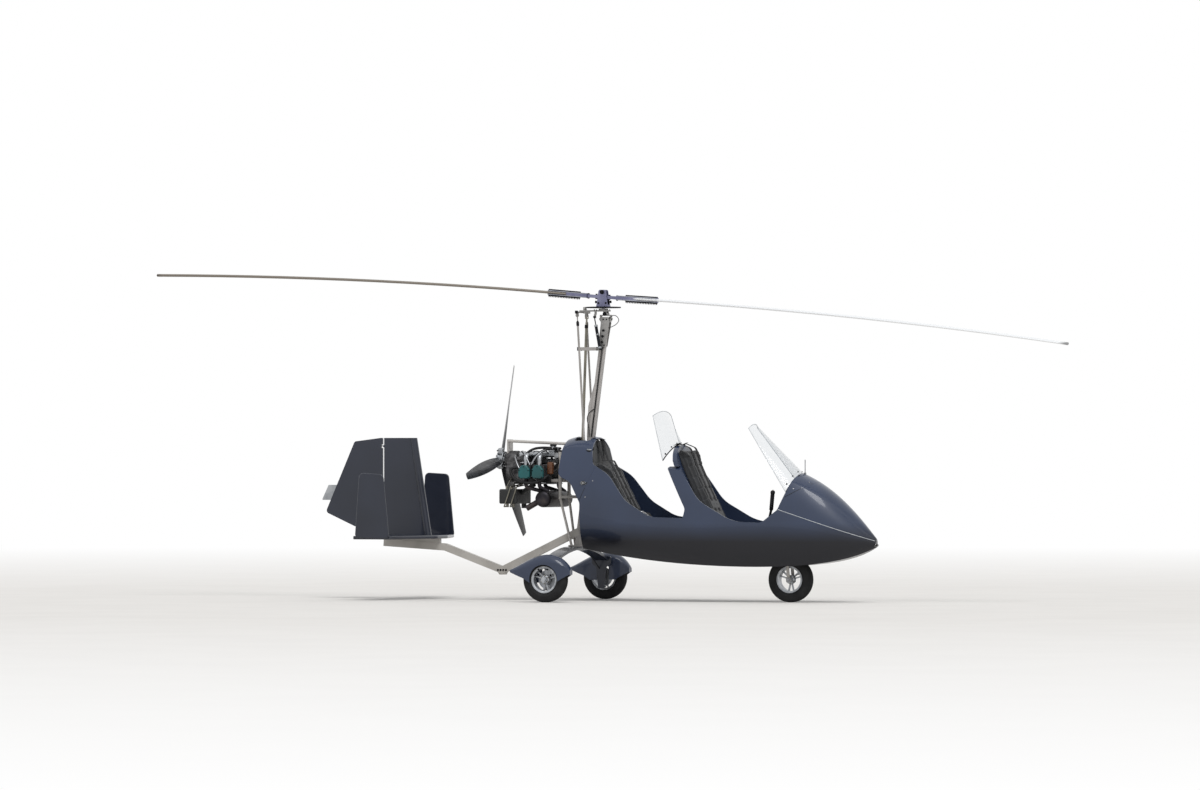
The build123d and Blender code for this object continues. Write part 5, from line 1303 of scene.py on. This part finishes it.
for step in range(7):
    seat = facing(PANEL_FOOT + PANEL_CLIMB * 72 + Vector((0, -108 + 36 * step, 0)), PANEL_FACE)
    turned(switches, seat, [(0, 0), (8, 0), (8, 3), (5, 4.5), (0, 4.5)], 16)
    lever = seat @ Matrix.Rotation(radians(-24 if step % 2 else 24), 4, "Y")
    turned(switches, lever, [(0, 2), (2.2, 2), (3, 16), (2, 18), (0, 18)], 12)
close_form(bezels, "dial_bezels", "airframe", anodised_black)
close_form(faces, "dial_faces", "airframe", dial_face)
close_form(prints, "dial_marks", "airframe", dial_white)
close_form(switches, "panel_switches", "airframe", ground_steel)

# %% [markdown]
# The control stick has a moulded grip with finger ridges and a trim button.
# The filler cap behind the rear seat is a turned alloy disc in a black ring.

# %% Stick grip and filler cap
form = bmesh.new()
grip_way = Vector((15, 0, 160)).normalized()
grip = [(0, 0), (15, 0), (17, 4)]
for ridge in range(6):
    grip += [(15.5, 12 + 18 * ridge), (18.5, 20 + 18 * ridge)]
grip += [(16, 124), (20, 136), (20, 148), (15, 157), (0, 160)]
turned(form, facing((1546, 0, 800), grip_way), grip, 28)
close_form(form, "stick_grip", "airframe", grain_plastic)
form = bmesh.new()
turned(form, facing((1561, 0, 958), grip_way), [(0, 0), (6, 0), (6, 4), (4, 6), (0, 6)], 20)
close_form(form, "trim_button", "airframe", amber_plastic)

cap_seat = facing((-35, -205, 1315), (0, -0.6, 0.8))
form = bmesh.new()
turned(form, cap_seat, [(0, 0), (27, 0), (29, 2), (29, 8), (26, 11), (8, 11), (7, 14), (0, 14)], 40)
close_form(form, "filler_cap", "airframe", machined_alloy)
form = bmesh.new()
turned(form, cap_seat, [(29.6, -4), (38, -4), (38, 2), (35, 5), (29.6, 4)], 40, ring=True)
close_form(form, "filler_ring", "airframe", hose_rubber)

# %% [markdown]
# The boom is plated where its two lengths meet below the silencer, with four
# bolts through each side.

# %% Boom bolts
form = bmesh.new()
for side in (-1, 1):
    for x, z in ((-880, 262), (-905, 262), (-930, 262), (-955, 262)):
        hex_head(form, facing((x, side * 25.4, z), (0, side, 0)), 11, 6)
close_form(form, "boom_bolts", "airframe", black_bolt)

# %% [markdown]
# Each main wheel stands under a spat, with a brake hose that runs down the bow spring.

# %% Brake hoses, spat bolts and fork bolts
BOW_HOSE = (4, (-262, -60, 470), (-262, -200, 452), (-262, -360, 410), (-262, -520, 340), (-258, -640,
    272),
            (-256, -690, 232))
round_runs("brake_hoses", "airframe", [BOW_HOSE, port_copy(BOW_HOSE)], hose_rubber)

form = bmesh.new()
for side in (-1, 1):
    for dx, dz in ((-70, 40), (70, 40), (-40, 88), (40, 88)):
        hex_head(form, facing((-240 + dx, side * 822, 195 + dz), (0, side, 0)), 10, 5)
close_form(form, "spat_bolts", "airframe", black_bolt)

form = bmesh.new()
for side in (-1, 1):
    hex_head(form, facing((1724, side * 76, 195), (0, side, 0)), 22, 10)
close_form(form, "fork_nuts", "nose_fork", ground_steel)

# %% [markdown]
# Lamps need something to catch the light behind the lens: a turned reflector in each.

# %% Lamp reflectors
form = bmesh.new()
for side in (-1, 1):
    turned(form, facing((-62, side * 300, 1021), (0, side, 0)), [(0, 0), (4, 0), (8, 3), (10, 7), (8.6,
        7), (0, 2)], 24)
    turned(form, facing((2484, side * 22, 492), (1, 0, -0.1)), [(0, 0), (5, 0), (11, 4), (13, 9), (12,
        9), (0, 3)], 28)
close_form(form, "lamp_reflectors", "airframe", ground_steel)
